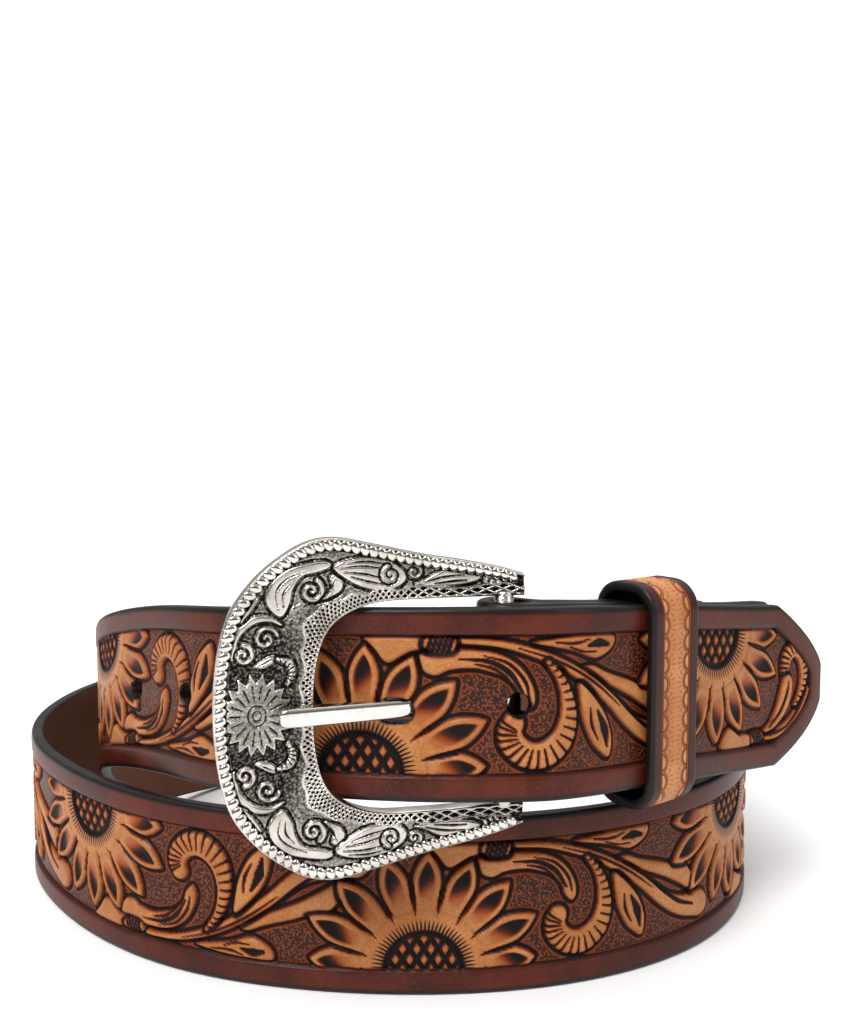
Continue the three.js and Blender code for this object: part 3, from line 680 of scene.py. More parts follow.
def tooling_at(distance, above, coarse):
    """Height and dye at a distance from the tip and a height above the lower edge."""
    edge_line = np.concatenate([
        [[0.0, 0.0]],
        np.stack([np.linspace(0, TIP_LENGTH, 40), tip_half(np.linspace(0, TIP_LENGTH, 40))], 1),
        [[60.0, STRAP_WIDTH / 2]],
    ])
    out = np.abs(above - STRAP_WIDTH / 2)
    from_edge = STRAP_WIDTH / 2 - out
    near_tip = distance < 34
    d, _ = line_distance(distance[near_tip], out[near_tip], edge_line)
    from_edge[near_tip] = d
    index = np.clip(np.searchsorted(FLOWERS, distance), 0, len(FLOWERS) - 1)
    before = FLOWERS[np.maximum(index - 1, 0)]
    x = (FLOWERS[index] - distance) / np.where(index > 0, FLOWERS[index] - before, 1)
    x = np.where(index > 0, x * UNIT_LENGTH, FLOWERS[0] - distance)
    y = above - BORDER
    y = np.where(index % 2 == 0, FIELD_HEIGHT - y, y)
    found = {}
    for name in ("height", "tan", "burn", "matte"):
        unit = sample(soft_unit_tile if coarse else unit_tile, name, x, y)
        found[name] = np.where(index > 0, unit, sample(tip_tile, name, x, y))
    # the flower's own middle, for the fine rays round its seeds
    right = (index > 0) & (x > UNIT_LENGTH / 2)
    found["flower_x"] = np.where(right, x - UNIT_LENGTH, x)
    found["flower_y"] = np.where(right, FIELD_HEIGHT - y, y)
    plain = smooth_step(distance, PLAIN_FROM - 1.0, PLAIN_FROM)
    field = smooth_step(from_edge, BORDER - 0.15, BORDER + 0.1) * (1 - plain)
    groove = np.exp(-(((from_edge - BORDER) / 0.42) ** 2))
    found["field"] = field
    found["height"] = found["height"] * field - 0.35 * groove * (1 - plain * 0.5)
    border_dome = 0.12 * np.clip(1 - ((from_edge - 2.7) / 2.7) ** 2, 0, 1) * (1 - field)
    found["height"] += border_dome
    found["burn"] = np.maximum(found["burn"] * field, 0.9 * groove)
    found["tan"] = found["tan"] * field
    found["matte"] = found["matte"] * field
    found["from_edge"] = from_edge
    return found


# %% [markdown]
# ## The strap as a mesh
# The strap's section is a flat bar with burnished, rounded edges. A displacement modifier on
# a plain bar would need far more faces to hold the cuts. Here rings of points follow the
# path, close together where the tooling is and far apart on the flesh side. The strap comes
# in four stretches, finer in front, whose ends meet.

# %% Turning points and faces into a piece
def ring_faces(rings, around, closed=False):
    """Quads between neighbouring rings of points, and a cap for each open end."""
    index = np.arange(rings * around).reshape(rings, around)
    ahead = np.roll(index, -1, 0)
    quads = np.stack([index, np.roll(index, -1, 1), np.roll(ahead, -1, 1), ahead], -1)
    if closed:
        return quads.reshape(-1, 4), []
    return quads[:-1].reshape(-1, 4), [index[0][::-1].tolist(), index[-1].tolist()]


def signed_volume(points, quads, caps):
    a, b, c, d = (points[quads[:, i]] for i in range(4))
    total = np.sum(a * np.cross(b, c)) + np.sum(a * np.cross(c, d))
    for cap in caps:
        p = points[cap]
        total += np.sum(p[0] * np.cross(p[1:-1], p[2:]).sum(0))
    return total / 6


def make_piece(name, points, quads, caps, dyes, masks=None, vectors=None, crisp_ends=False):
    """A smooth mesh whose faces point outwards, with its colours and masks."""
    if signed_volume(points, quads, caps) < 0:
        quads = quads[:, ::-1]
        caps = [cap[::-1] for cap in caps]
    mesh = bpy.data.meshes.new(name)
    mesh.from_pydata(points.tolist(), [], quads.tolist() + [list(cap) for cap in caps])
    for label, channels in dyes.items():
        values = np.ones((len(points), 4), np.float32)
        for i, channel in enumerate(channels):
            values[:, i] = np.clip(channel, 0, 1).reshape(-1)
        flat = values.reshape(-1)
        mesh.attributes.new(label, "FLOAT_COLOR", "POINT").data.foreach_set("color", flat)
    for label, values in (masks or {}).items():
        flat = np.asarray(values, np.float32).reshape(-1)
        mesh.attributes.new(label, "FLOAT", "POINT").data.foreach_set("value", flat)
    for label, values in (vectors or {}).items():
        flat = np.asarray(values, np.float32).reshape(-1)
        mesh.attributes.new(label, "FLOAT_VECTOR", "POINT").data.foreach_set("vector", flat)
    mesh.polygons.foreach_set("use_smooth", np.ones(len(mesh.polygons), bool))
    if crisp_ends:
        edge_of_corner = np.zeros(len(mesh.loops), np.int32)
        mesh.loops.foreach_get("edge_index", edge_of_corner)
        sharp = np.zeros(len(mesh.edges), bool)
        sharp[edge_of_corner[4 * len(quads):]] = True
        mesh.edges.foreach_set("use_edge_sharp", sharp)
    mesh.update()
    piece = bpy.data.objects.new(name, mesh)
    bpy.context.scene.collection.objects.link(piece)
    triangles = 2 * len(quads) + sum(len(cap) - 2 for cap in caps)
    print(f"{name}: {triangles} triangles")
    return piece


# %% Helpers for one stretch of strap
def circle_hole(distance, above, radius):
    return {"centre": (distance, above), "straight": 0.0, "radius": radius}


FLESH_BAND = 4.4  # half height of the band behind the holes that needs fine columns
FLESH_COLUMNS = [9, 14, 18.2]  # the coarse ones beyond that band
EDGE_BEND = np.radians([22.5, 45, 67.5, 90])
EDGE_STEP = EDGE_BEND[0]


def strap_columns(face_step):
    """Columns across the face and the flesh side, as shares of the half height."""
    inner = STRAP_WIDTH / 2 - BORDER + 0.7
    fine = np.arange(-math.ceil(inner / face_step), math.ceil(inner / face_step) + 1) * face_step
    outer = np.linspace(fine[-1] + 1.0, STRAP_WIDTH / 2 - STRAP_EDGE, 5)
    face = np.concatenate([-outer[::-1], fine, outer])
    band = fine[np.abs(fine) <= FLESH_BAND]
    flesh = np.concatenate([[-w for w in FLESH_COLUMNS[::-1]], band, FLESH_COLUMNS])
    return face / (STRAP_WIDTH / 2 - STRAP_EDGE), flesh / FLESH_COLUMNS[-1]


def strap_section(distance, face, flesh):
    """Rise from the middle, depth below the face and part of each point of each ring."""
    half, e = tip_half(distance)[:, None], STRAP_EDGE
    rise, depth, part = [], [], []

    def add(height, below, label):
        rise.append(height)
        depth.append(np.full((len(distance), 1), float(below)))
        part.append(label)

    corners = [(half - e + e * math.sin(a), e * (1 - math.cos(a))) for a in EDGE_BEND]
    corners += [
        (half - e + e * math.cos(a), STRAP_THICKNESS - e + e * math.sin(a))
        for a in EDGE_BEND - EDGE_STEP
    ]
    for share in face:
        add(share * (half - e), 0.0, "face")
    for height, below in corners:
        add(height, below, "edge")
    for share in flesh[::-1]:
        add(share * (half - e), STRAP_THICKNESS, "flesh")
    for height, below in reversed(corners):
        add(-height, below, "edge")
    return np.concatenate(rise, 1), np.concatenate(depth, 1), np.array(part)


def punch(holes, walked, above, usable, reach):
    """Moves points near a hole's outline onto it; tells what lies inside, and how near."""
    gone, shade = np.zeros(walked.shape, bool), np.zeros(walked.shape)
    for hole in holes:
        dx, dy = walked - hole["centre"][0], above - hole["centre"][1]
        dx = dx - np.clip(dx, -hole["straight"], hole["straight"])
        r = np.hypot(dx, dy)
        rim = (np.abs(r - hole["radius"]) <= reach) & usable
        scale = np.where(rim, hole["radius"] / np.maximum(r, 1e-6), 1.0)
        walked = walked + np.where(rim, dx * (scale - 1), 0)
        above = above + np.where(rim, dy * (scale - 1), 0)
        gone |= (r < hole["radius"] - reach) & usable
        shade = np.maximum(shade, np.exp(-np.clip(r - hole["radius"], 0, 9) / 0.5) * usable)
    return walked, above, gone, shade


def hole_walls(lost, kept, is_face, face, flesh):
    """Faces that join the two sides along the edges that lost a face."""
    columns = len(is_face)
    total = max(lost.max(), kept.max()) + 1
    around = [0, 1, 2, 3, 0]
    sides = np.concatenate([lost[:, around[i:i + 2]] for i in range(4)])
    kept_sides = np.concatenate([kept[:, around[i:i + 2][::-1]] for i in range(4)])
    kept_keys = kept_sides[:, 0] * total + kept_sides[:, 1]
    rim = sides[np.isin(sides[:, 0] * total + sides[:, 1], kept_keys)]
    rim = rim[is_face[rim % columns].all(1)]
    first_flesh = len(face) + 2 * len(EDGE_BEND)
    half = STRAP_WIDTH / 2 - STRAP_EDGE
    nearest = np.array([np.argmin(np.abs((flesh[::-1] - share) * half)) for share in face])
    opposite = rim // columns * columns + first_flesh + nearest[rim % columns]
    return np.stack([rim[:, 0], rim[:, 1], opposite[:, 1], opposite[:, 0]], 1)


# %% Building one stretch of strap
def build_strap(name, start, end, along_step, face_step, holes):
    """A closed mesh of the strap between two distances from the tip."""
    distance = np.linspace(start, end, int(math.ceil((end - start) / along_step)) + 1)
    if start == 0:
        distance = np.concatenate([[0, 0.12, 0.35, 0.7], distance[distance > 0.85]])
    face, flesh = strap_columns(face_step)
    rise, depth, part = strap_section(distance, face, flesh)
    is_face = part == "face"
    walked = np.repeat(distance[:, None], len(part), 1)
    usable = (is_face | (part == "flesh"))[None, :]
    rim_reach = 0.55 * max(along_step, face_step)
    walked, above, gone, hole_shade = punch(
        holes, walked, STRAP_WIDTH / 2 + rise, usable, rim_reach
    )
    rise = above - STRAP_WIDTH / 2

    look = tooling_at(walked.copy(), above.copy(), along_step > COARSE_STEP)
    on_face = is_face[None, :].astype(float)
    relief = look["height"] * on_face - 0.25 * hole_shade * on_face
    taper = np.clip((STRAP_WIDTH / 2 - np.abs(rise)) / 1.5, 0, 1)
    depth = depth - relief * np.minimum(1, taper + 0.2)
    if start == 0:
        # the section closes up over the last millimetre of the tip's nose
        nose = 1 - np.clip(distance / STRAP_EDGE, 0, 1)
        squeeze = np.sqrt(np.clip(1 - nose**2, 0, 1))[:, None]
        depth = STRAP_THICKNESS / 2 + (depth - STRAP_THICKNESS / 2) * squeeze

    def spine(values):
        return np.interp(walked, spine_walked, values)

    points = np.stack([
        spine(spine_point[:, 0]) + spine(spine_inward[:, 0]) * depth,
        spine(spine_point[:, 1]) + spine(spine_inward[:, 1]) * depth,
        spine(spine_lift) + STRAP_WIDTH / 2 + rise,
    ], -1).reshape(-1, 3) * MM

    quads, caps = ring_faces(len(distance), len(part))
    inside = gone.reshape(-1)[quads].any(1)
    faces = quads[~inside]
    if inside.any():
        walls = hole_walls(quads[inside], faces, is_face, face, flesh)
        faces = np.concatenate([faces, walls])
    used = np.zeros(len(points), bool)
    used[faces.reshape(-1)] = True
    for cap in caps:
        used[cap] = True
    renumber = np.cumsum(used) - 1
    everywhere = np.ones(walked.shape)
    worn_rim = (1 - smooth_step(look["from_edge"], 0.7, 1.5)) * on_face
    dyes = {
        "tooling": [look[n] * on_face for n in ("tan", "burn", "matte")],
        "zone": [
            look["field"] * on_face, np.maximum((part == "edge") * everywhere, worn_rim),
            (part == "flesh") * everywhere,
        ],
    }
    dyes = {label: [c.reshape(-1)[used] for c in three] for label, three in dyes.items()}
    flower = np.stack([look["flower_x"], look["flower_y"], on_face * look["field"]], -1)
    return make_piece(
        name, points[used], renumber[faces], [renumber[np.array(cap)].tolist() for cap in caps],
        dyes, {"hole": hole_shade.reshape(-1)[used]}, {"flower": flower.reshape(-1, 3)[used]},
        crisp_ends=True,
    )


# %% [markdown]
# ## Punched holes
# Five round holes near the tip, a long slot where the tongue passes and a hole for each
# post. A boolean would leave long thin faces. Instead the points nearest a hole's outline
# move onto it, the faces inside it go, and walls join the two sides.

# %% Holes along the strap
FRAME_DROP = 1.0
SLOT_HALF_HEIGHT = 2.85
SLOT_STRAIGHT = 14.6
POST_HOLE_RADIUS = 2.3
POST_FROM_BAR = [21.0, 55.0]
middle_height = STRAP_WIDTH / 2
tip_holes = [
    circle_hole(FIRST_HOLE + i * HOLE_SPACING, middle_height, HOLE_RADIUS)
    for i in range(HOLE_COUNT)
]
# the tongue slants into its hole, so that hole is stretched towards the bar
TONGUE_HOLE = 1
TONGUE_WAY = 1.3
tip_holes[TONGUE_HOLE] = {
    "centre": (FIRST_HOLE + HOLE_SPACING - TONGUE_WAY, middle_height - FRAME_DROP),
    "straight": TONGUE_WAY, "radius": HOLE_RADIUS,
}
slot_hole = {
    "centre": (BAR_WALKED, middle_height - FRAME_DROP), "straight": SLOT_STRAIGHT,
    "radius": SLOT_HALF_HEIGHT,
}
fold_holes = [slot_hole]
for from_the_bar in POST_FROM_BAR:
    for sign, depth in ((-1, 0.0), (1, float(fold_depth(from_the_bar)))):
        place = behind_tip(BAR_STATION - from_the_bar, UNDER_OFFSET + depth)
        away = np.hypot(*(spine_point - place["point"] - coil_shift).T)
        away[np.abs(sign * (spine_walked - BAR_WALKED) - 45) > 40] = np.inf
        walked_to = float(spine_walked[np.argmin(away)])
        fold_holes.append(circle_hole(walked_to, middle_height, POST_HOLE_RADIUS))
        print(f"post hole {walked_to - BAR_WALKED:.1f} mm from the bar, off by {away.min():.2f}")

# %% The four stretches
strap_tip = build_strap("strap_tip", 0.0, 216.0, 0.33, 0.34, tip_holes)
strap_inside = build_strap("strap_inside", 216.0, 556.0, 0.58, 0.53, [])
strap_front = build_strap("strap_front", 556.0, 800.0, 0.37, 0.34, [])
strap_back = build_strap("strap_back", 800.0, STRAP_LENGTH, 0.59, 0.54, fold_holes)
strap_pieces = [strap_tip, strap_inside, strap_front, strap_back]


# %% [markdown]
# ## Leather
# Tooled leather is dyed tan, then a dark antique paste is wiped over it. The paste stays in
# the cuts and turns the hollows orange and then black, and the raised parts stay light. The
# mesh already knows how deep each point lies, so the colours come from its attributes, and
# nodes add what is finer than the mesh: pores, stamped pebbles, fine rays and a gloss coat.

# %% Small helpers for node trees
def new_group(name, inputs, outputs):
    """A shader node group with named sockets."""
    tree = bpy.data.node_groups.new(name, "ShaderNodeTree")
    for label, kind, default in inputs:
        socket = tree.interface.new_socket(label, in_out="INPUT", socket_type=kind)
        if default is not None:
            socket.default_value = default
    for label, kind in outputs:
        tree.interface.new_socket(label, in_out="OUTPUT", socket_type=kind)
    return tree, tree.nodes.new("NodeGroupInput"), tree.nodes.new("NodeGroupOutput")


def math_node(tree, operation, a, b=None, clamp=False):
    node = tree.nodes.new("ShaderNodeMath")
    node.operation = operation
    node.use_clamp = clamp
    for socket, value in zip(node.inputs, (a, b)):
        if value is None:
            continue
        if isinstance(value, (int, float)):
            socket.default_value = value
        else:
            tree.links.new(value, socket)
    return node.outputs[0]


def product(tree, a, b):
    return math_node(tree, "MULTIPLY", a, b)


def total(tree, a, b, clamp=False):
    return math_node(tree, "ADD", a, b, clamp)


def difference(tree, a, b):
    return math_node(tree, "SUBTRACT", a, b)


def largest(tree, a, b):
    return math_node(tree, "MAXIMUM", a, b)


def remap(tree, value, low, high, to_low=0.0, to_high=1.0):
    node = tree.nodes.new("ShaderNodeMapRange")
    node.interpolation_type = "SMOOTHSTEP"
    tree.links.new(value, node.inputs["Value"])
    ends = {"From Min": low, "From Max": high, "To Min": to_low, "To Max": to_high}
    for label, number in ends.items():
        node.inputs[label].default_value = number
    return node.outputs["Result"]


def mix_colour(tree, factor, a, b):
    node = tree.nodes.new("ShaderNodeMix")
    node.data_type = "RGBA"
    for socket, value in ((node.inputs[0], factor), (node.inputs[6], a), (node.inputs[7], b)):
        if isinstance(value, (int, float, tuple)):
            socket.default_value = value
        else:
            tree.links.new(value, socket)
    return node.outputs[2]


def noise(tree, coordinates, scale, detail=3.0, roughness=0.55, distortion=0.0):
    node = tree.nodes.new("ShaderNodeTexNoise")
    node.inputs["Scale"].default_value = scale
    node.inputs["Detail"].default_value = detail
    node.inputs["Roughness"].default_value = roughness
    node.inputs["Distortion"].default_value = distortion
    tree.links.new(coordinates, node.inputs["Vector"])
    return node.outputs["Fac"]


def srgb(code):
    """A linear colour from a hex code."""
    parts = [int(code[i:i + 2], 16) / 255 for i in (0, 2, 4)]
    linear = [c / 12.92 if c <= 0.04045 else ((c + 0.055) / 1.055) ** 2.4 for c in parts]
    return (*linear, 1.0)


print("colours are linear in nodes:", [round(c, 3) for c in srgb("9c6030")])

# %% Group: pores and creases of leather
grain_group, grain_in, grain_out = new_group(
    "leather_grain",
    [("Coordinates", "NodeSocketVector", None), ("Amount", "NodeSocketFloat", 1.0)],
    [("Height", "NodeSocketFloat"), ("Mottle", "NodeSocketFloat")],
)
grain_place = grain_in.outputs["Coordinates"]
pores = product(grain_group, noise(grain_group, grain_place, 2600, 3, 0.6), 0.35)
creases = product(grain_group, noise(grain_group, grain_place, 520, 4, 0.6, 0.6), 0.65)
grain_sum = total(grain_group, pores, creases)
grain_height = product(grain_group, grain_sum, grain_in.outputs["Amount"])
grain_group.links.new(grain_height, grain_out.inputs["Height"])
grain_group.links.new(noise(grain_group, grain_place, 70, 4, 0.6), grain_out.inputs["Mottle"])
print(grain_group.name, "has", len(grain_group.nodes), "nodes")

# %% Group: stamped pebbles of the ground
pebble_group, pebble_in, pebble_out = new_group(
    "stamped_ground",
    [("Coordinates", "NodeSocketVector", None), ("Amount", "NodeSocketFloat", 1.0)],
    [("Height", "NodeSocketFloat"), ("Pit", "NodeSocketFloat")],
)
cells = pebble_group.nodes.new("ShaderNodeTexVoronoi")
cells.feature = "SMOOTH_F1"
cells.inputs["Scale"].default_value = 1750.0
cells.inputs["Smoothness"].default_value = 0.35
pebble_group.links.new(pebble_in.outputs["Coordinates"], cells.inputs["Vector"])
pit = remap(pebble_group, cells.outputs["Distance"], 0.28, 0.62)
raised = difference(pebble_group, 1.0, pit)
for value, label in ((raised, "Height"), (pit, "Pit")):
    amount = product(pebble_group, value, pebble_in.outputs["Amount"])
    pebble_group.links.new(amount, pebble_out.inputs[label])
print(pebble_group.name, "has", len(pebble_group.nodes), "nodes")

# %% Group: fine rays round the seeds of a flower
ray_group, ray_in, ray_out = new_group(
    "seed_rays",
    [("Flower", "NodeSocketVector", None), ("Count", "NodeSocketFloat", 37.0),
     ("Inner", "NodeSocketFloat", SEED_RADIUS), ("Outer", "NodeSocketFloat", HAIR_RADIUS)],
    [("Cut", "NodeSocketFloat")],
)
split = ray_group.nodes.new("ShaderNodeSeparateXYZ")
ray_group.links.new(ray_in.outputs["Flower"], split.inputs[0])
ray_angle = math_node(ray_group, "ARCTAN2", split.outputs["Y"], split.outputs["X"])
square_x, square_y = (product(ray_group, split.outputs[i], split.outputs[i]) for i in "XY")
ray_radius = math_node(ray_group, "SQRT", total(ray_group, square_x, square_y))
ray_turns = product(ray_group, product(ray_group, ray_angle, 2.0), ray_in.outputs["Count"])
ray_wave = math_node(ray_group, "SINE", ray_turns)
ray_past = difference(ray_group, ray_radius, ray_in.outputs["Inner"])
ray_room = difference(ray_group, ray_in.outputs["Outer"], ray_in.outputs["Inner"])
ray_share = math_node(ray_group, "DIVIDE", ray_past, ray_room)
ray_level = difference(ray_group, ray_wave, product(ray_group, ray_share, 1.9))
ray_mark = remap(ray_group, ray_level, -1.15, -0.35)
ray_begin = remap(ray_group, ray_share, -0.12, 0.0)
ray_stop = remap(ray_group, ray_share, 1.06, 0.9)
ray_cut = product(ray_group, product(ray_group, ray_mark, ray_begin), ray_stop)
ray_cut = product(ray_group, ray_cut, split.outputs["Z"])
ray_group.links.new(ray_cut, ray_out.inputs["Cut"])
print(ray_group.name, "has", len(ray_group.nodes), "nodes")


# %% Helpers for materials
def group_node(tree, group, **values):
    node = tree.nodes.new("ShaderNodeGroup")
    node.node_tree = group
    for label, value in values.items():
        socket = node.inputs[label]
        if isinstance(value, (int, float)):
            socket.default_value = value
        else:
            tree.links.new(value, socket)
    return node


def attribute_node(tree, name):
    node = tree.nodes.new("ShaderNodeAttribute")
    node.attribute_name = name
    return node


def attribute_channels(tree, name):
    """The three numbers kept in a colour attribute."""
    node = tree.nodes.new("ShaderNodeSeparateColor")
    tree.links.new(attribute_node(tree, name).outputs["Color"], node.inputs[0])
    return node.outputs[0], node.outputs[1], node.outputs[2]


def new_material(name):
    material = bpy.data.materials.new(name)
    material.use_nodes = True
    tree = material.node_tree
    return material, tree, tree.nodes["Principled BSDF"]


def bump(tree, shader, height, distance, strength):
    node = tree.nodes.new("ShaderNodeBump")
    node.inputs["Distance"].default_value = distance
    node.inputs["Strength"].default_value = strength
    tree.links.new(height, node.inputs["Height"])
    tree.links.new(node.outputs["Normal"], shader.inputs["Normal"])


# %% Dyes of the strap
TAN, TAN_LIGHT = srgb("9c6030"), srgb("b27a48")
ORANGE, DEEP, BLACK = srgb("84380c"), srgb("401206"), srgb("0d0706")
GROUND, GROUND_PIT = srgb("70361a"), srgb("2c0d06")
BORDER_BROWN, BORDER_DARK, EDGE_BLACK = srgb("561f0f"), srgb("371009"), srgb("15100f")
FLESH, FLESH_LIGHT = srgb("4d2c20"), srgb("6b4230")
print("orange dye", [round(c, 3) for c in ORANGE[:3]], "as linear colour")

# %% Tan dye and antique paste
tooled_leather, tree, shader = new_material("tooled_leather")
coordinates = tree.nodes.new("ShaderNodeTexCoord").outputs["Object"]
tan, burn, matte = attribute_channels(tree, "tooling")
field, edge, flesh = attribute_channels(tree, "zone")
grain = group_node(tree, grain_group, Coordinates=coordinates, Amount=1.0)
mottle = grain.outputs["Mottle"]
pebble = group_node(tree, pebble_group, Coordinates=coordinates, Amount=matte)
rays = group_node(tree, ray_group, Flower=attribute_node(tree, "flower").outputs["Vector"])
paste = largest(tree, burn, rays.outputs["Cut"])
patchy = difference(tree, product(tree, mottle, 0.34), 0.17)
paste = total(tree, paste, patchy, clamp=True)
speckle = noise(tree, coordinates, 1900, 2, 0.7)
tan_patchy = mix_colour(tree, remap(tree, mottle, 0.3, 0.7), TAN, TAN_LIGHT)
tan_colour = mix_colour(tree, remap(tree, speckle, 0.42, 0.66, 0.0, 0.4), tan_patchy, ORANGE)
ground_colour = mix_colour(tree, pebble.outputs["Pit"], GROUND, GROUND_PIT)
tooled = mix_colour(tree, tan, ground_colour, tan_colour)
for low, high, dye in ((0.08, 0.42, ORANGE), (0.34, 0.68, DEEP), (0.6, 0.95, BLACK)):
    tooled = mix_colour(tree, remap(tree, paste, low, high), tooled, dye)
print(tooled_leather.name, "has", len(tree.nodes), "nodes so far")

# %% Border, edges, flesh side and holes
border = mix_colour(tree, remap(tree, mottle, 0.3, 0.75), BORDER_DARK, BORDER_BROWN)
border = mix_colour(tree, remap(tree, speckle, 0.5, 0.75, 0.0, 0.35), border, GROUND)
border = mix_colour(tree, remap(tree, burn, 0.3, 0.9), border, BLACK)
flesh_colour = mix_colour(tree, mottle, FLESH, FLESH_LIGHT)
colour = mix_colour(tree, field, border, tooled)
colour = mix_colour(tree, edge, colour, EDGE_BLACK)
colour = mix_colour(tree, flesh, colour, flesh_colour)
# painted shade: the rims and walls of the punched holes turn black
hole_painted_shade = remap(tree, attribute_node(tree, "hole").outputs["Fac"], 0.25, 0.9)
colour = mix_colour(tree, hole_painted_shade, colour, BLACK)
tree.links.new(colour, shader.inputs["Base Color"])
print(tooled_leather.name, "has", len(tree.nodes), "nodes so far")

# %% Gloss and fine relief of the strap
dull = largest(tree, product(tree, flesh, 0.3), product(tree, burn, 0.2))
rough = total(tree, remap(tree, mottle, 0.2, 0.8, 0.34, 0.5), dull, clamp=True)
tree.links.new(rough, shader.inputs["Roughness"])
clear = difference(tree, 1.0, largest(tree, flesh, burn))
tree.links.new(product(tree, clear, 0.12), shader.inputs["Coat Weight"])
shader.inputs["Coat Roughness"].default_value = 0.2
shader.inputs["Specular IOR Level"].default_value = 0.15
stamps = total(tree, pebble.outputs["Height"], product(tree, rays.outputs["Cut"], -0.9))
fine = total(tree, product(tree, grain.outputs["Height"], 0.3), stamps)
bump(tree, shader, fine, 0.00022, 0.9)

for piece in strap_pieces:
    piece.data.materials.append(tooled_leather)
    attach(piece, "root")
    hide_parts("strap")
print(len(strap_pieces), "stretches wear", tooled_leather.name)

# %% [markdown]
# ## Stamped keeper
# The keeper is a strip of leather closed into a loop. Its edges are stained dark, and along
# both borders a half-moon stamp was struck every 4 mm with a fan of rays inside it. The
# loop is swept round a rounded rectangle, and the stamps are worked out from the distance
# round the loop, so they meet without a seam.

# %% Keeper loop
KEEPER_WIDTH = 14.0
KEEPER_WALL = 2.2
KEEPER_RISE = 2.6
KEEPER_CLEARANCE = 0.5
KEEPER_ROUND = 6.4
KEEPER_FROM_TIP = 61.6
KEEPER_EDGE = 0.8
KEEPER_ROWS = 470
KEEPER_COLUMNS = 66
STAMP_PITCH_NEAR = 4.0
STAMP_LINE = 3.9  # from the keeper's middle to its border
STAMP_ARCS = [(1.85, 0.2, 1.0), (2.35, 0.16, 0.8)]  # radius, width and strength
STAMP_RAYS = 22
RAYS_FROM, RAYS_FULL, RAYS_TO = 2.6, 2.8, 4.3

layers = UNDER_OFFSET + float(fold_depth(FOLD_LENGTH))
loop_depth = layers / 2 + KEEPER_CLEARANCE + KEEPER_WALL
loop_height = STRAP_WIDTH / 2 + KEEPER_RISE + KEEPER_WALL
flat_height, flat_depth = loop_height - KEEPER_ROUND, loop_depth - KEEPER_ROUND
loop_line = []
for sign_x, sign_y, from_angle in ((-1, 1, 180), (1, 1, 90), (1, -1, 0), (-1, -1, -90)):
    for angle in np.radians(np.linspace(from_angle, from_angle - 90, 24)):
        loop_line.append((
            sign_x * flat_depth + KEEPER_ROUND * math.cos(angle),
            sign_y * flat_height + KEEPER_ROUND * math.sin(angle),
        ))
loop_line = np.array(loop_line + loop_line[:1])


def even_points(line, count, closed=False):
    """Points at equal distances along a line, and the line's length."""
    walked = np.concatenate([[0], np.cumsum(np.hypot(*np.diff(line, axis=0).T))])
    at = np.linspace(0, walked[-1], count, endpoint=not closed)
    return np.stack([np.interp(at, walked, line[:, i]) for i in (0, 1)], 1), walked[-1]


def keeper_relief(round_at, across, length):
    """Depth and dye of the stamps, from the place round the loop and across it."""
    pitch = length / round(length / STAMP_PITCH_NEAR)
    step = (round_at / pitch) % 1.0 * pitch - pitch / 2
    depth, burn = np.zeros(round_at.shape), np.zeros(round_at.shape)
    for side in (-1, 1):
        inward = STAMP_LINE - side * across
        r = np.hypot(step, inward + 0.5)
        turn = np.arctan2(step, inward + 0.5)
        arc = sum(s * np.exp(-(((r - at) / wide) ** 2)) for at, wide, s in STAMP_ARCS)
        fan = smooth_step(np.cos(turn * STAMP_RAYS), 0.1, 0.75)
        fan = fan * smooth_step(r, RAYS_FROM, RAYS_FULL)
        fan *= smooth_step(RAYS_TO - r, 0, 0.4)
        mark = np.clip(arc + 0.55 * fan, 0, 1) * (inward > 0)
        depth += 0.3 * mark
        burn = np.maximum(burn, np.clip(arc, 0, 1) * (inward > 0) + 0.42 * fan * (inward > 0))
    line = np.exp(-(((np.abs(across) - STAMP_LINE) / 0.22) ** 2))
    centre = smooth_step(STAMP_LINE - np.abs(across), -0.15, 0.15)
    return depth * centre + 0.3 * line, np.maximum(burn * centre, line), centre


def build_keeper():
    ring, length = even_points(loop_line, KEEPER_ROWS, closed=True)
    ahead, behind = np.roll(ring, -1, 0), np.roll(ring, 1, 0)
    along = ahead - behind
    along /= np.hypot(*along.T)[:, None]
    out = np.stack([-along[:, 1], along[:, 0]], 1)
    half, e = KEEPER_WIDTH / 2, KEEPER_EDGE
    bend = np.radians(np.linspace(0, 90, 5))
    corners = [(half - e + e * math.sin(a), e * (1 - math.cos(a))) for a in bend[1:]]
    corners += [(half - e + e * math.cos(a), KEEPER_WALL - e + e * math.sin(a)) for a in bend]
    section = [(w, 0.0) for w in np.linspace(-(half - e), half - e, KEEPER_COLUMNS)] + corners
    section += [(w, KEEPER_WALL) for w in np.linspace(4, -4, 3)]
    section += [(-w, below) for w, below in reversed(corners)]
    section = np.array(section)
    across = np.repeat(section[None, :, 0], KEEPER_ROWS, 0)
    depth = np.repeat(section[None, :, 1], KEEPER_ROWS, 0)
    round_at = np.repeat((np.arange(KEEPER_ROWS) * length / KEEPER_ROWS)[:, None], len(section), 1)
    outside = depth < 0.01
    stamped, burn, centre = keeper_relief(round_at, across, length)
    depth = depth + stamped * outside
    plan = ring[:, None, :] - out[:, None, :] * depth[..., None]
    place = behind_tip(KEEPER_FROM_TIP, layers / 2)
    base = place["point"] + coil_shift
    x = base[0] + place["inward"][0] * plan[..., 0] - place["along"][0] * across
    y = base[1] + place["inward"][1] * plan[..., 0] - place["along"][1] * across
    z = float(place["height"]) + STRAP_WIDTH / 2 + plan[..., 1]
    points = np.stack([x, y, z], -1).reshape(-1, 3) * MM
    quads, _ = ring_faces(KEEPER_ROWS, len(section), closed=True)
    # dark stain on the edges, and black as painted shade on the loop's whole inner face
    edge = 1 - smooth_step(half - np.abs(across), 0.5, 1.3) * outside
    dyes = {"tooling": (centre * outside, np.clip(burn, 0, 1) * outside, edge)}
    return make_piece("keeper_loop", points, quads, [], dyes)


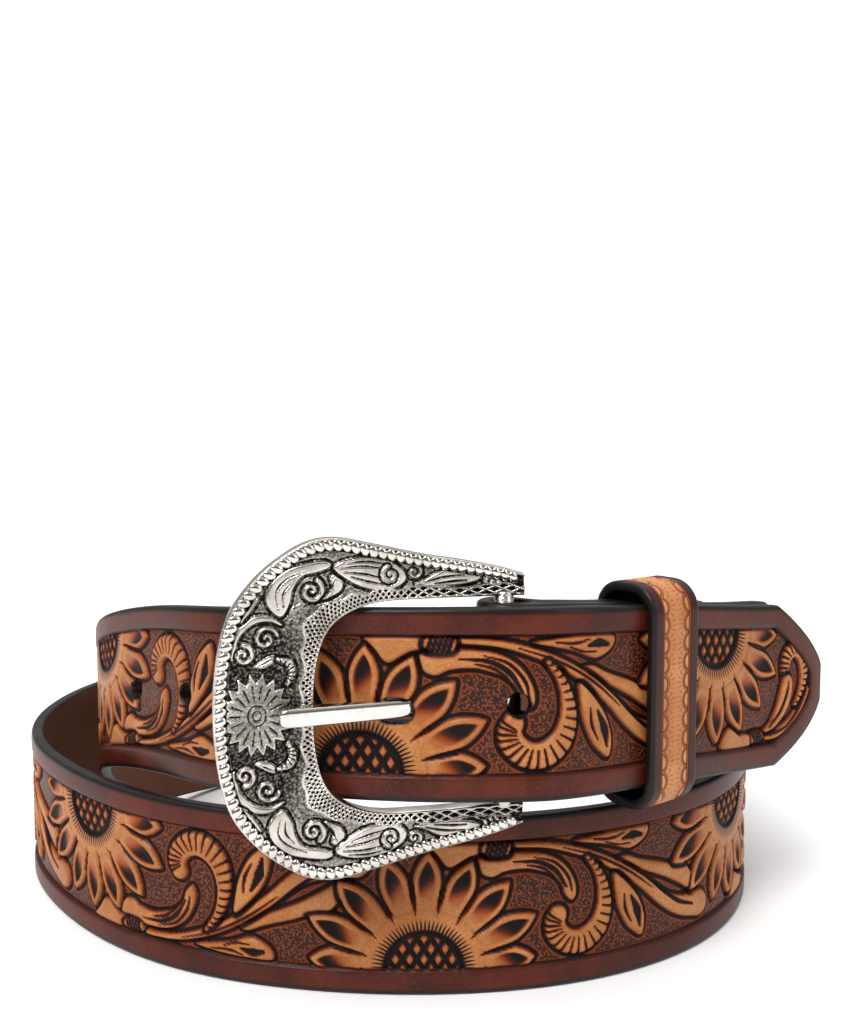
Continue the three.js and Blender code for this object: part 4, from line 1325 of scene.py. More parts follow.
keeper_loop = build_keeper()

# %% [markdown]
# ## Keeper leather
# The keeper is a lighter tan than the strap, with the same grain. Its material shares the
# strap's node group, and its own attribute says where the stamps and the dark edges are,
# and where the inner face is coloured black as painted shade.

# %% Keeper leather
KEEPER_TAN = srgb("a9683a")
KEEPER_LIGHT = srgb("c48a58")
KEEPER_WARM = srgb("8a4a22")
keeper_leather, tree, shader = new_material("keeper_leather")
coordinates = tree.nodes.new("ShaderNodeTexCoord").outputs["Object"]
centre, burn, edge = attribute_channels(tree, "tooling")
grain = group_node(tree, grain_group, Coordinates=coordinates, Amount=1.0)
mottle = grain.outputs["Mottle"]
colour = mix_colour(tree, remap(tree, mottle, 0.3, 0.7), KEEPER_TAN, KEEPER_LIGHT)
colour = mix_colour(tree, centre, BORDER_DARK, colour)
colour = mix_colour(tree, remap(tree, burn, 0.1, 0.6), colour, KEEPER_WARM)
colour = mix_colour(tree, remap(tree, burn, 0.5, 1.0), colour, DEEP)
# black on the stained edges, and painted shade on the inner face
tree.links.new(mix_colour(tree, edge, colour, EDGE_BLACK), shader.inputs["Base Color"])
tree.links.new(remap(tree, mottle, 0.2, 0.8, 0.3, 0.46), shader.inputs["Roughness"])
shader.inputs["Coat Weight"].default_value = 0.1
shader.inputs["Coat Roughness"].default_value = 0.25
shader.inputs["Specular IOR Level"].default_value = 0.18
bump(tree, shader, grain.outputs["Height"], 0.00012, 0.8)
keeper_loop.data.materials.append(keeper_leather)
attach(keeper_loop, "root")
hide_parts("keeper")
print(keeper_loop.name, "wears", keeper_leather.name)

# %% [markdown]
# ## Silver finishes
# Cast western buckles are plated, dipped in a black patina and polished, so the high parts
# shine and the recesses stay dark. A shader group gives clouds and hairline scratches to
# every metal piece. How dark each point is comes from the mesh again: patina in the
# recesses, and painted shade on the sunflower and in the middle of the bow.

# %% Group: clouds and hairlines on metal
tarnish_group, tarnish_in, tarnish_out = new_group(
    "metal_wear",
    [("Coordinates", "NodeSocketVector", None), ("Scale", "NodeSocketFloat", 1.0)],
    [("Cloud", "NodeSocketFloat"), ("Hairline", "NodeSocketFloat")],
)
wear_scale = tarnish_group.nodes.new("ShaderNodeVectorMath")
wear_scale.operation = "SCALE"
stretch = tarnish_group.nodes.new("ShaderNodeMapping")
stretch.inputs["Scale"].default_value = (0.25, 0.25, 3.0)
stretch.inputs["Rotation"].default_value = (0.2, 0.5, 0.1)
clouds = noise(tarnish_group, wear_scale.outputs[0], 180, 4, 0.6)
hairlines = noise(tarnish_group, stretch.outputs[0], 1400, 2, 0.5)
for source, target in (
    (tarnish_in.outputs["Coordinates"], wear_scale.inputs[0]),
    (tarnish_in.outputs["Scale"], wear_scale.inputs["Scale"]),
    (wear_scale.outputs[0], stretch.inputs["Vector"]),
    (clouds, tarnish_out.inputs["Cloud"]), (hairlines, tarnish_out.inputs["Hairline"]),
):
    tarnish_group.links.new(source, target)
print(tarnish_group.name, "has", len(tarnish_group.nodes), "nodes")


# %% Two silvers
def silver(name, bright, clouded, rough, patina_and_shade):
    """A polished metal, darkened where the mesh says: a patina in the recesses, and painted shade
    on the buckle's sunflower and the middle of its bow.
    """
    material, tree, shader = new_material(name)
    coordinates = tree.nodes.new("ShaderNodeTexCoord").outputs["Object"]
    wear = group_node(tree, tarnish_group, Coordinates=coordinates, Scale=1.0)
    cloudy = remap(tree, wear.outputs["Cloud"], 0.3, 0.75)
    shine = mix_colour(tree, cloudy, srgb(bright), srgb(clouded))
    shader.inputs["Metallic"].default_value = 1.0
    roughness = remap(tree, wear.outputs["Cloud"], 0.25, 0.75, rough, rough + 0.12)
    colour = shine
    height = product(tree, wear.outputs["Hairline"], 0.06)
    if patina_and_shade:
        # patina in the recesses, plus painted shade on the sunflower and the bow's middle
        dark = attribute_node(tree, "patina_and_shade").outputs["Fac"]
        speckle = tree.nodes.new("ShaderNodeTexVoronoi")
        speckle.inputs["Scale"].default_value = 1700.0
        tree.links.new(coordinates, speckle.inputs["Vector"])
        grit = product(tree, remap(tree, speckle.outputs["Distance"], 0.15, 0.6), dark)
        patina = mix_colour(tree, remap(tree, dark, 0.25, 0.85), shine, srgb("4e4740"))
        colour = mix_colour(tree, remap(tree, grit, 0.25, 0.75), patina, srgb("1a1817"))
        roughness = total(tree, roughness, product(tree, dark, 0.22), clamp=True)
        height = difference(tree, height, grit)
    tree.links.new(colour, shader.inputs["Base Color"])
    tree.links.new(roughness, shader.inputs["Roughness"])
    bump(tree, shader, height, 0.00016, 0.7)
    return material


cast_silver = silver("cast_silver", "d6d0c8", "a09a92", 0.15, True)
polished_silver = silver("polished_silver", "e2ded8", "c4bfb8", 0.07, False)
print("metals:", cast_silver.name, "and", polished_silver.name)

# %% [markdown]
# ## The buckle's frame
# The frame is one casting: a flat open loop with rounded edges, engraved scrolls, a
# sunflower at the middle of the bow and a knurled band along the opening. It is swept
# between its outer and its inner outline. The engraving is drawn as distances, as the
# tooling was, in millimetres to the left of the bar and above the frame's middle.

# %% Outlines and place of the frame
FRAME_LENGTH = 57.4
FRAME_BAND = 12.4
FRAME_THICKNESS = 3.8
ARM_CLEARANCE = 2.0
TONGUE_THICKNESS = 2.8
TONGUE_DEPTH_IN_HOLE = 0.2
TOUCH_GAP = 0.35
FRAME_OUTER = [
    (-0.066, 0.76), (0.02, 0.803), (0.14, 0.846), (0.29, 0.891), (0.445, 0.951), (0.585, 0.998),
    (0.68, 0.98), (0.77, 0.9), (0.865, 0.765), (0.945, 0.575), (0.986, 0.32), (1.0, 0.0),
]
FRAME_INNER = [
    (-0.066, 1.0), (0.29, 1.0), (0.44, 0.985), (0.53, 0.92), (0.598, 0.8), (0.64, 0.613),
    (0.663, 0.32), (0.668, 0.0),
]
opening_half = STRAP_WIDTH / 2 + ARM_CLEARANCE
frame_half = opening_half + FRAME_BAND


def whole_outline(rows, half):
    upper = [(along * FRAME_LENGTH, share * half) for along, share in rows]
    lower = [(u, -v) for u, v in reversed(upper[:-1])]
    return through(upper + lower, 14)


frame_outer_line = whole_outline(FRAME_OUTER, frame_half)
frame_inner_line = whole_outline(FRAME_INNER, opening_half)
hole_place = at_distance(tip_path, BAR_STATION + BAR_TO_HOLE)
hole_middle = hole_place["point"] + hole_place["inward"] * TONGUE_DEPTH_IN_HOLE * STRAP_THICKNESS
tongue_along = hole_middle - bar_axis
tongue_along = tongue_along / np.hypot(*tongue_along)
frame_turn = -math.asin(
    ((TONGUE_THICKNESS + FRAME_THICKNESS) / 2 + TOUCH_GAP) / (FRAME_INNER[-1][0] * FRAME_LENGTH)
)
frame_along = np.array([
    tongue_along[0] * math.cos(frame_turn) - tongue_along[1] * math.sin(frame_turn),
    tongue_along[0] * math.sin(frame_turn) + tongue_along[1] * math.cos(frame_turn),
])
frame_height = strap_middle - FRAME_DROP


def on_plate(along, u, v, depth):
    """Metres in the row frame for a point left of the bar, above the middle and behind."""
    base = bar_axis + coil_shift
    inward = np.array([along[1], -along[0]])
    x = base[0] + along[0] * u + inward[0] * depth
    y = base[1] + along[1] * u + inward[1] * depth
    return np.stack([x, y, frame_height + v], -1) * MM


# %% [markdown]
# ## Engraving
# A die sinker cuts scrolls and leaves into the model of the buckle before it is cast. They
# are drawn like the tooling, with narrower bevels. Only the upper half is drawn, because
# the lower half is its mirror image.

# %% Engraving of one half, mirrored for the other
ENGRAVE_STEP = 0.1
ENGRAVE_CRISP = 1.9
ENGRAVE_DEPTH = 0.42
VEIN_DEPTH = 0.22
engraving = blank_tile((-6.0, -1.0), (60.0, 36.0), ENGRAVE_STEP, -ENGRAVE_DEPTH)


def engrave_leaf(points, veins=()):
    draw_leaf(engraving, points, ENGRAVE_CRISP)
    for vein in veins:
        draw_vein(engraving, vein, [0.12, 0.34, 0.12], VEIN_DEPTH)


def engrave_stem(points, widths):
    draw_stem(engraving, points, widths, ENGRAVE_CRISP, 2.5)


def engrave_curl(middle, radius, start, turns, widths):
    """A curl that winds out of its own eye."""
    t = np.linspace(0, 1, 26)
    angle = math.radians(start) + turns * 2 * math.pi * t
    r = radius * (0.12 + 0.88 * t)
    points = np.stack([middle[0] + r * np.cos(angle), middle[1] + r * np.sin(angle)], 1)
    engrave_stem([tuple(p) for p in points], widths)


engrave_stem([(53.4, 11.0), (53.3, 14.2), (52.0, 16.6), (49.6, 18.2), (46.8, 18.4), (44.4, 17.2)],
             [1.0, 1.6, 1.9, 1.7, 1.3, 0.5])
engrave_curl((51.6, 11.6), 2.0, 200, -1.3, [0.7, 0.9, 1.1])
engrave_curl((47.3, 14.6), 2.3, 20, 1.4, [0.6, 0.8, 0.9])
engrave_leaf([(49.8, 9.4), (48.3, 10.4), (46.4, 11.4), (44.8, 10.9), (46.2, 9.6), (48.0, 8.8)],
             [[(48.9, 9.5), (46.2, 10.7)]])
engrave_leaf([(53.6, 17.4), (52.6, 18.6), (51.0, 20.6), (49.4, 22.9), (48.4, 22.3), (49.6, 20.2),
              (51.8, 17.8)],
             [[(52.2, 18.6), (49.4, 21.8)]])
engrave_leaf([(46.2, 19.6), (47.4, 22.2), (46.4, 25.2), (43.6, 27.6), (40.2, 28.7), (36.0, 29.2),
              (34.6, 28.0), (37.2, 26.9), (40.2, 26.2), (42.0, 23.8), (42.6, 21.2), (44.2, 18.6)],
             [[(45.0, 20.4), (45.4, 23.4), (43.4, 25.8), (40.0, 27.2)],
              [(44.0, 20.8), (44.0, 23.2), (42.4, 25.2)]])
engrave_curl((38.6, 23.4), 2.3, 250, -1.35, [0.7, 1.0, 1.2])
engrave_leaf([(36.6, 21.6), (34.8, 23.8), (35.2, 26.0), (33.6, 26.8), (32.4, 24.9), (33.2, 22.9)],
             [[(35.6, 22.8), (34.0, 25.6)]])
engrave_leaf([(33.6, 28.7), (30.0, 29.6), (25.2, 29.3), (21.4, 27.6), (20.0, 25.4), (21.6, 23.6),
              (25.4, 22.9), (29.2, 23.8), (32.4, 25.6), (34.4, 27.4)],
             [[(33.0, 27.7), (28.6, 27.9), (24.2, 27.2)],
              [(32.4, 26.9), (28.4, 26.4), (24.6, 25.4)],
              [(31.2, 26.0), (28.0, 25.0), (24.8, 24.3)],
              [(31.8, 28.6), (28.0, 28.8), (24.6, 28.3)]])
engrave_curl((23.4, 26.0), 1.7, 0, 1.2, [0.5, 0.8, 0.9])
engrave_curl((18.6, 26.4), 1.5, 180, -1.2, [0.5, 0.8, 0.9])
engrave_leaf([(18.6, 24.2), (16.6, 25.0), (13.4, 26.6), (9.6, 27.2), (6.0, 26.2), (5.2, 24.6),
              (8.4, 23.6), (12.4, 23.4), (16.0, 23.4)],
             [[(16.6, 24.4), (12.6, 25.3), (8.4, 25.6)], [(14.6, 24.0), (11.0, 24.4), (8.0, 24.5)]])
engrave_curl((2.6, 24.0), 1.7, 90, -1.3, [0.5, 0.8, 1.0])
engrave_leaf([(5.4, 22.8), (4.2, 23.4), (1.8, 22.4), (-0.6, 22.6), (1.0, 23.4), (3.2, 22.4)])

# small rayed crescent beside the sunflower
engrave_stem([(43.4, 5.6), (42.4, 7.6), (43.0, 9.8), (45.0, 10.6)], [0.9, 1.7, 1.8, 0.9])
for turn in np.radians(np.linspace(-30, 110, 8)):
    spoke = np.array([math.cos(turn), math.sin(turn)])
    root = np.array([44.6, 7.6])
    line = np.array([root + spoke * [-1.4, 1.4], root + spoke * [-2.9, 2.9]])
    cut_line(engraving, line, [0.2, 0.3], VEIN_DEPTH)
print("engraving drawn on", engraving["x"].shape, "points")

# %% Sunflower at the middle of the bow
FLOWER_LEFT = 49.2
FLOWER_OVAL = 1.16
window = window_of(engraving, np.array([[FLOWER_LEFT - 8, 0.0], [FLOWER_LEFT + 8, 9.5]]))
star_x = engraving["x"][window] - FLOWER_LEFT
star_y = engraving["y"][window] / FLOWER_OVAL
star_r, star_turn = np.hypot(star_x, star_y), np.arctan2(star_y, star_x)
STAR_POINTS = 18
zigzag = np.abs((star_turn / (2 * math.pi) * STAR_POINTS) % 1.0 - 0.5) * 2
star_inside = 5.3 + 1.7 * zigzag - star_r
raise_shape(engraving, window, star_inside * ENGRAVE_CRISP)
star_lines = smooth_step(np.cos(star_turn * STAR_POINTS), 0.72, 0.96)
star_lines = star_lines * smooth_step(star_r, 2.3, 2.8) * smooth_step(5.4 - star_r, 0, 0.5)
star_rings = np.exp(-(((star_r - 1.7) / 0.17) ** 2)) + np.exp(-(((star_r - 0.8) / 0.14) ** 2))
star_marks = np.clip(star_lines + star_rings, 0, 1)
engraving["height"][window] -= 0.2 * star_marks
# painted shade: the raised face of the sunflower is darkened as a whole; its cut lines and rings
# are patina
star_shade = np.maximum(0.46 * smooth_step(star_inside, 0.35, 0.6), 0.9 * star_marks)
engraving["burn"][window] = np.maximum(engraving["burn"][window], star_shade)
print("sunflower with", STAR_POINTS, "points")

# %% [markdown]
# ## The casting
# The frame is swept like the strap: rings of points across the band, from the outer outline
# to the inner one. The front is fine enough for the engraving, the knurling and the channel
# of the rope; the back stays plain, as on a real buckle.

# %% Section of the frame's band
FRAME_ROWS = 860
FRAME_EDGE = 0.8
ROPE_INSET = 1.3
BAND_STEPS = 88


def frame_section(width):
    """Share of the way across the band and depth, column by column round it."""
    e, half = FRAME_EDGE, FRAME_THICKNESS / 2
    bend = np.radians([0, 30, 60, 90])
    share, depth = [], []

    def add(across, below):
        share.append(across)
        depth.append(below)

    for t in np.linspace(0, 1, BAND_STEPS):
        add(e / width + (1 - 2 * e / width) * t, -half)
    corner = [(e * (1 - math.sin(a)) / width, e * (1 - math.cos(a))) for a in bend]
    for inset, below in corner[1:]:
        add(1 - inset, -half + below)
    for inset, below in reversed(corner):
        add(1 - inset, half - below)
    for t in np.linspace(1, 0, 6)[1:-1]:
        add(e / width + (1 - 2 * e / width) * t, half)
    for inset, below in corner:
        add(inset, half - below)
    for inset, below in reversed(corner[1:]):
        add(inset, -half + below)
    share = np.concatenate(share, 1)
    return share, np.repeat(np.array(depth)[None, :], len(share), 0)


# %% Relief and patina of the frame's front
def front_relief(u, v):
    """Height and darkness at points left of the bar and above the frame's middle."""
    from_outer, _ = line_distance(u, v, frame_outer_line)
    from_inner, inner_share = line_distance(u, v, frame_inner_line)
    far = np.abs(v)
    relief, dark, ground = (sample(engraving, name, u, far) for name in ("height", "burn", "matte"))
    way = inner_share * frame_inner_length
    # smooth band between the scrolls and the knurling, widest at the bow
    knurl_width = 2.3 + 2.2 * np.exp(-(((far - 17.5) / 5.0) ** 2)) * smooth_step(u, 26, 36)
    knurl_width += 0.35 * np.sin(way * 0.9)
    past = from_inner - knurl_width
    smooth_band = smooth_step(past, 0.0, 0.3) * (1 - smooth_step(past, 4.0, 4.6))
    smooth_band = smooth_band * smooth_step(u, 24, 38) * ground
    hollow = -0.12 - 0.22 * np.sin(np.clip(past / 4.2, 0, 1) * math.pi)
    relief = relief * (1 - smooth_band) + smooth_band * hollow
    # painted shade: the ground and the smooth band are darker in the middle of the bow, standing in
    # for the darker surroundings it reflects
    middle = smooth_step(u, 38, 46) * (1 - smooth_step(far, 12, 20))
    dark = np.maximum(dark, (0.5 + 0.24 * middle) * ground) * (1 - smooth_band)
    dark += (0.52 + 0.2 * middle) * smooth_band
    plume = np.sin(past * 4.6 + np.sin(way * 0.55) * 2.6)
    fine_lines = smooth_step(plume, 0.8, 0.98) * smooth_band
    relief -= 0.08 * fine_lines
    dark = np.maximum(dark, 0.75 * fine_lines)
    # knurled band along the opening, with a bead beside it
    knurl_zone = smooth_step(from_inner, 0.35, 0.5) * (1 - smooth_step(past, -0.25, -0.05))
    cross = np.maximum(np.sin(way * 4.8 + from_inner * 4.4), np.sin(way * 4.8 - from_inner * 4.4))
    relief = relief * (1 - knurl_zone) + knurl_zone * (-0.3 + 0.28 * cross)
    dark = dark * (1 - knurl_zone) + knurl_zone * smooth_step(-cross, -0.75, 0.2)
    bead = np.exp(-((past / 0.24) ** 2))
    relief = np.maximum(relief, -0.6 + 0.65 * bead)
    dark = dark * (1 - bead)
    # channel for the rope, with a bright rim outside and a dark line inside it
    rope_zone = smooth_step(from_outer, 0.25, 0.4) * (1 - smooth_step(from_outer, 2.5, 2.65))
    relief = relief * (1 - rope_zone) - 0.6 * rope_zone
    dark = np.maximum(dark * (1 - rope_zone), rope_zone)
    outer_rim = 1 - smooth_step(from_outer, 0.25, 0.4)
    return relief * (1 - outer_rim), dark * (1 - outer_rim)


# %% Sweeping the frame
outer_points, _ = even_points(frame_outer_line, FRAME_ROWS)
inner_points, frame_inner_length = even_points(frame_inner_line, FRAME_ROWS)
FRAME_SWELL = 0.35  # the front stands out a little in the middle of the band


def build_frame():
    across = inner_points - outer_points
    share, depth = frame_section(np.hypot(*across.T)[:, None])
    u = outer_points[:, :1] + across[:, :1] * share
    v = outer_points[:, 1:] + across[:, 1:] * share
    front = slice(None), slice(0, BAND_STEPS)
    relief, dark = front_relief(u[front], v[front])
    swell = FRAME_SWELL * np.sin(np.clip(share[front], 0, 1) * math.pi)
    depth[front] -= relief
    depth[front] -= swell - FRAME_SWELL
    # patina of the engraving, knurling and rope channel, with the painted shade of the sunflower
    # and the bow's middle
    patina_and_shade = np.zeros(u.shape)
    patina_and_shade[front] = dark
    points = on_plate(frame_along, u, v, depth).reshape(-1, 3)
    quads, caps = ring_faces(FRAME_ROWS, share.shape[1])
    return make_piece("buckle_plate", points, quads, caps, {}, {"patina_and_shade": patina_and_shade})


buckle_plate = build_frame()

# %% The bar behind the frame
def build_rod(name, radius, low, high, along, sides=40):
    """An upright round bar with eased ends, on the bar's axis."""
    rows = [(low, radius - 0.3), (low + 0.3, radius), (high - 0.3, radius), (high, radius - 0.3)]
    turn = np.linspace(0, 2 * math.pi, sides, endpoint=False)
    points = np.concatenate([
        on_plate(along, r * np.cos(turn), np.full(sides, v), r * np.sin(turn)) for v, r in rows
    ])
    quads, caps = ring_faces(len(rows), sides)
    return make_piece(name, points, quads, caps, {}, {"patina_and_shade": np.full(len(points), 0.25)})


buckle_bar = build_rod("buckle_bar", BAR_RADIUS, -opening_half - 1, opening_half + 1, frame_along)

# %% [markdown]
# ## Rope edge
# A rope border is cast along the rim: a row of slanted strands, one every 1.8 mm.
# Repeats along a line are what Geometry Nodes are for. The tree walks a curve, sets one
# strand at each step, turns it to the curve and slants it, and joins the result.

# %% Tree that lays strands along a curve
rope_tree = bpy.data.node_groups.new("rope_edge", "GeometryNodeTree")
rope_tree.is_modifier = True
rope_sockets = {}
for label, kind, default in (
    ("Geometry", "NodeSocketGeometry", None), ("Pitch", "NodeSocketFloat", 0.00178),
    ("Strand Size", "NodeSocketVector", (0.00094, 0.00138, 0.0006)),
    ("Slant", "NodeSocketFloat", math.radians(30)), ("Front", "NodeSocketVector", (0, -1, 0)),
    ("Material", "NodeSocketMaterial", None),
):
    socket = rope_tree.interface.new_socket(label, in_out="INPUT", socket_type=kind)
    if default is not None:
        socket.default_value = default
    rope_sockets[label] = socket.identifier
rope_tree.interface.new_socket("Geometry", in_out="OUTPUT", socket_type="NodeSocketGeometry")
rope_in = rope_tree.nodes.new("NodeGroupInput")
rope_out = rope_tree.nodes.new("NodeGroupOutput")
steps = rope_tree.nodes.new("GeometryNodeResampleCurve")
steps.mode = "LENGTH"
strand = rope_tree.nodes.new("GeometryNodeMeshUVSphere")
strand.inputs["Segments"].default_value = 12
strand.inputs["Rings"].default_value = 8
strand.inputs["Radius"].default_value = 1.0
tangent = rope_tree.nodes.new("GeometryNodeInputTangent")
turn_along = rope_tree.nodes.new("FunctionNodeAlignRotationToVector")
turn_along.axis = "X"
turn_front = rope_tree.nodes.new("FunctionNodeAlignRotationToVector")
turn_front.axis = "Z"
turn_front.pivot_axis = "X"
slant_turn = rope_tree.nodes.new("FunctionNodeAxisAngleToRotation")
slant_turn.inputs["Axis"].default_value = (0, 0, 1)
slanted = rope_tree.nodes.new("FunctionNodeRotateRotation")
slanted.rotation_space = "LOCAL"
on_points = rope_tree.nodes.new("GeometryNodeInstanceOnPoints")
realize = rope_tree.nodes.new("GeometryNodeRealizeInstances")
smooth_shade = rope_tree.nodes.new("GeometryNodeSetShadeSmooth")
paint = rope_tree.nodes.new("GeometryNodeSetMaterial")
for source, target in (
    (rope_in.outputs["Geometry"], steps.inputs["Curve"]),
    (rope_in.outputs["Pitch"], steps.inputs["Length"]),
    (tangent.outputs[0], turn_along.inputs["Vector"]),
    (turn_along.outputs[0], turn_front.inputs["Rotation"]),
    (rope_in.outputs["Front"], turn_front.inputs["Vector"]),
    (rope_in.outputs["Slant"], slant_turn.inputs["Angle"]),
    (turn_front.outputs[0], slanted.inputs["Rotation"]),
    (slant_turn.outputs[0], slanted.inputs["Rotate By"]),
    (steps.outputs["Curve"], on_points.inputs["Points"]),
    (strand.outputs["Mesh"], on_points.inputs["Instance"]),
    (slanted.outputs[0], on_points.inputs["Rotation"]),
    (rope_in.outputs["Strand Size"], on_points.inputs["Scale"]),
    (on_points.outputs["Instances"], smooth_shade.inputs["Geometry"]),
    (smooth_shade.outputs["Geometry"], realize.inputs["Geometry"]),
    (realize.outputs["Geometry"], paint.inputs["Geometry"]),
    (rope_in.outputs["Material"], paint.inputs["Material"]),
    (paint.outputs["Geometry"], rope_out.inputs[0]),
):
    rope_tree.links.new(source, target)

# %% Rope along the frame's rim
RIM_POINTS = 500
ROPE_ENDS = 6  # points left free at each end
rim_points, _ = even_points(frame_outer_line, RIM_POINTS)
rim_along = np.gradient(rim_points, axis=0)
rim_along /= np.hypot(*rim_along.T)[:, None]
rim_side = np.stack([rim_along[:, 1], -rim_along[:, 0]], 1)
if rim_side[RIM_POINTS // 2][0] > 0:
    rim_side = -rim_side
rope_line = (rim_points + rim_side * ROPE_INSET)[ROPE_ENDS:-ROPE_ENDS]
rope_curve = bpy.data.curves.new("rope_line", "CURVE")
rope_curve.dimensions = "3D"
spline = rope_curve.splines.new("POLY")
spline.points.add(len(rope_line) - 1)
ROPE_FRONT = -FRAME_THICKNESS / 2 + 0.5
rope_depth = np.full(len(rope_line), ROPE_FRONT)
rope_world = on_plate(frame_along, rope_line[:, 0], rope_line[:, 1], rope_depth)
rope_world = np.concatenate([rope_world, np.ones((len(rope_world), 1))], 1)
spline.points.foreach_set("co", rope_world.reshape(-1))
rope_guide = bpy.data.objects.new("rope_guide", rope_curve)
bpy.context.scene.collection.objects.link(rope_guide)
rope_modifier = rope_guide.modifiers.new("rope", "NODES")
rope_modifier.node_group = rope_tree
rope_modifier[rope_sockets["Pitch"]] = 0.00178
rope_modifier[rope_sockets["Strand Size"]] = (0.00094, 0.00138, 0.0006)
rope_modifier[rope_sockets["Slant"]] = math.radians(30)
rope_modifier[rope_sockets["Front"]] = (-frame_along[1], frame_along[0], 0.0)
rope_modifier[rope_sockets["Material"]] = polished_silver
bpy.context.view_layer.update()
depsgraph = bpy.context.evaluated_depsgraph_get()
grown_guide = rope_guide.evaluated_get(depsgraph)
rope_mesh = bpy.data.meshes.new_from_object(grown_guide, depsgraph=depsgraph)
bpy.data.objects.remove(rope_guide)
buckle_rope = bpy.data.objects.new("buckle_rope", rope_mesh)
bpy.context.scene.collection.objects.link(buckle_rope)
print("rope:", len(rope_mesh.vertices), "points,", len(rope_mesh.polygons), "faces")

for piece in (buckle_plate, buckle_bar):
    piece.data.materials.append(cast_silver)
for piece in (buckle_plate, buckle_bar, buckle_rope):
    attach(piece, "root")
    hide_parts("buckle_frame")

# %% [markdown]
# ## Tongue
# The tongue is a plain polished prong: a bar with a soft square section, a rounded end that
# rests on the bow and an eye that turns on the bar. A squared-off circle gives the section
# in one formula, for the prong and for the eye.

# %% Tongue
TONGUE_LENGTH = 45.5
TONGUE_EYE_HEIGHT = 5.0
TONGUE_EYE_WALL = 1.4
EYE_INNER = BAR_RADIUS + TOUCH_GAP
EYE_STEPS, EYE_SIDES, PRONG_SIDES = 64, 20, 48
NOSE_LENGTH = 1.9
SECTION_POWER = 0.5


def soft_square(turn):
    c, s = np.cos(turn), np.sin(turn)
    return np.sign(c) * np.abs(c) ** SECTION_POWER, np.sign(s) * np.abs(s) ** SECTION_POWER


def build_prong():
    """The prong, from the eye to its closed nose."""
    turn = np.linspace(0, 2 * math.pi, PRONG_SIDES, endpoint=False)
    cx, cy = soft_square(turn)
    start = EYE_INNER + TONGUE_EYE_WALL / 2
    nose_turn = np.radians(np.linspace(5, 88, 18))
    body = np.linspace(start, TONGUE_LENGTH - NOSE_LENGTH, 60)
    nose = TONGUE_LENGTH - NOSE_LENGTH + NOSE_LENGTH * np.sin(nose_turn)
    at = np.concatenate([body, nose])
    close = np.concatenate([np.ones(len(body)), np.cos(nose_turn) ** 0.55])
    half_v = np.interp(at, [start, TONGUE_LENGTH], [1.75, 1.9]) * close
    half_d = TONGUE_THICKNESS / 2 * close ** 0.8
    u = np.repeat(at[:, None], len(turn), 1)
    points = on_plate(tongue_along, u, half_v[:, None] * cx, half_d[:, None] * cy).reshape(-1, 3)
    quads, caps = ring_faces(len(at), len(turn))
    return points, quads, caps


def build_eye():
    """The eye: a soft square section spun round the bar's axis."""
    ring_turn = np.linspace(0, 2 * math.pi, EYE_STEPS, endpoint=False)[:, None]
    sx, sy = soft_square(np.linspace(0, 2 * math.pi, EYE_SIDES, endpoint=False))
    r = EYE_INNER + TONGUE_EYE_WALL / 2 * (1 + sx)
    rise = np.repeat((TONGUE_EYE_HEIGHT / 2 * sy)[None, :], EYE_STEPS, 0)
    u, depth = r * np.cos(ring_turn), r * np.sin(ring_turn)
    points = on_plate(tongue_along, u, rise, depth).reshape(-1, 3)
    quads, _ = ring_faces(EYE_STEPS, EYE_SIDES, closed=True)
    return points, quads


def build_tongue():
    prong, quads, caps = build_prong()
    eye, eye_quads = build_eye()
    if signed_volume(eye, eye_quads, []) * signed_volume(prong, quads, caps) < 0:
        eye_quads = eye_quads[:, ::-1]
    quads = np.concatenate([quads, eye_quads + len(prong)])
    return make_piece("tongue", np.concatenate([prong, eye]), quads, caps, {})


tongue = build_tongue()
tongue.data.materials.append(polished_silver)
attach(tongue, "root")
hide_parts("buckle_tongue")

# %% [markdown]
# ## Posts
# Two screw posts hold the turned-back end of the strap. They are turned parts, so their
# outline is spun round the axis. One function makes both.

# %% Posts
POST_RADIUS = 2.0
POST_HEAD = 3.8
POST_SIDES = 48


def build_post(name, from_the_bar):
    far, near = float(fold_depth(from_the_bar)) + TOUCH_GAP, -TOUCH_GAP
    outline = [
        (1.2, near - 0.9), (2.5, near - 0.88), (3.3, near - 0.68), (POST_HEAD - 0.05, near - 0.3),
        (POST_HEAD - 0.1, near), (POST_RADIUS, near), (POST_RADIUS, far), (POST_HEAD - 0.1, far),
        (POST_HEAD - 0.05, far + 0.3), (3.3, far + 0.68), (2.5, far + 0.88), (1.2, far + 0.9),
    ]
    place = behind_tip(BAR_STATION - from_the_bar, UNDER_OFFSET)
    base = place["point"] + coil_shift
    turn = np.linspace(0, 2 * math.pi, POST_SIDES, endpoint=False)
    rings = []
    for r, depth in outline:
        side = r * np.cos(turn)
        rings.append(np.stack([
            base[0] - place["along"][0] * side + place["inward"][0] * depth,
            base[1] - place["along"][1] * side + place["inward"][1] * depth,
            float(place["height"]) + STRAP_WIDTH / 2 + r * np.sin(turn),
        ], -1) * MM)
    quads, caps = ring_faces(len(outline), POST_SIDES)
    return make_piece(name, np.concatenate(rings), quads, caps, {})


for number, from_the_bar in enumerate(POST_FROM_BAR, 1):
    post = build_post(f"screw_post_{number}", from_the_bar)
    post.data.materials.append(polished_silver)
    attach(post, "root")
    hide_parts(f"fold_post_{number}")

# %% [markdown]
# ## Studio
# A plain white floor and soft lights. Polished metal only looks like metal when there is
# something darker to reflect, so the sky is bright above and grey in front.

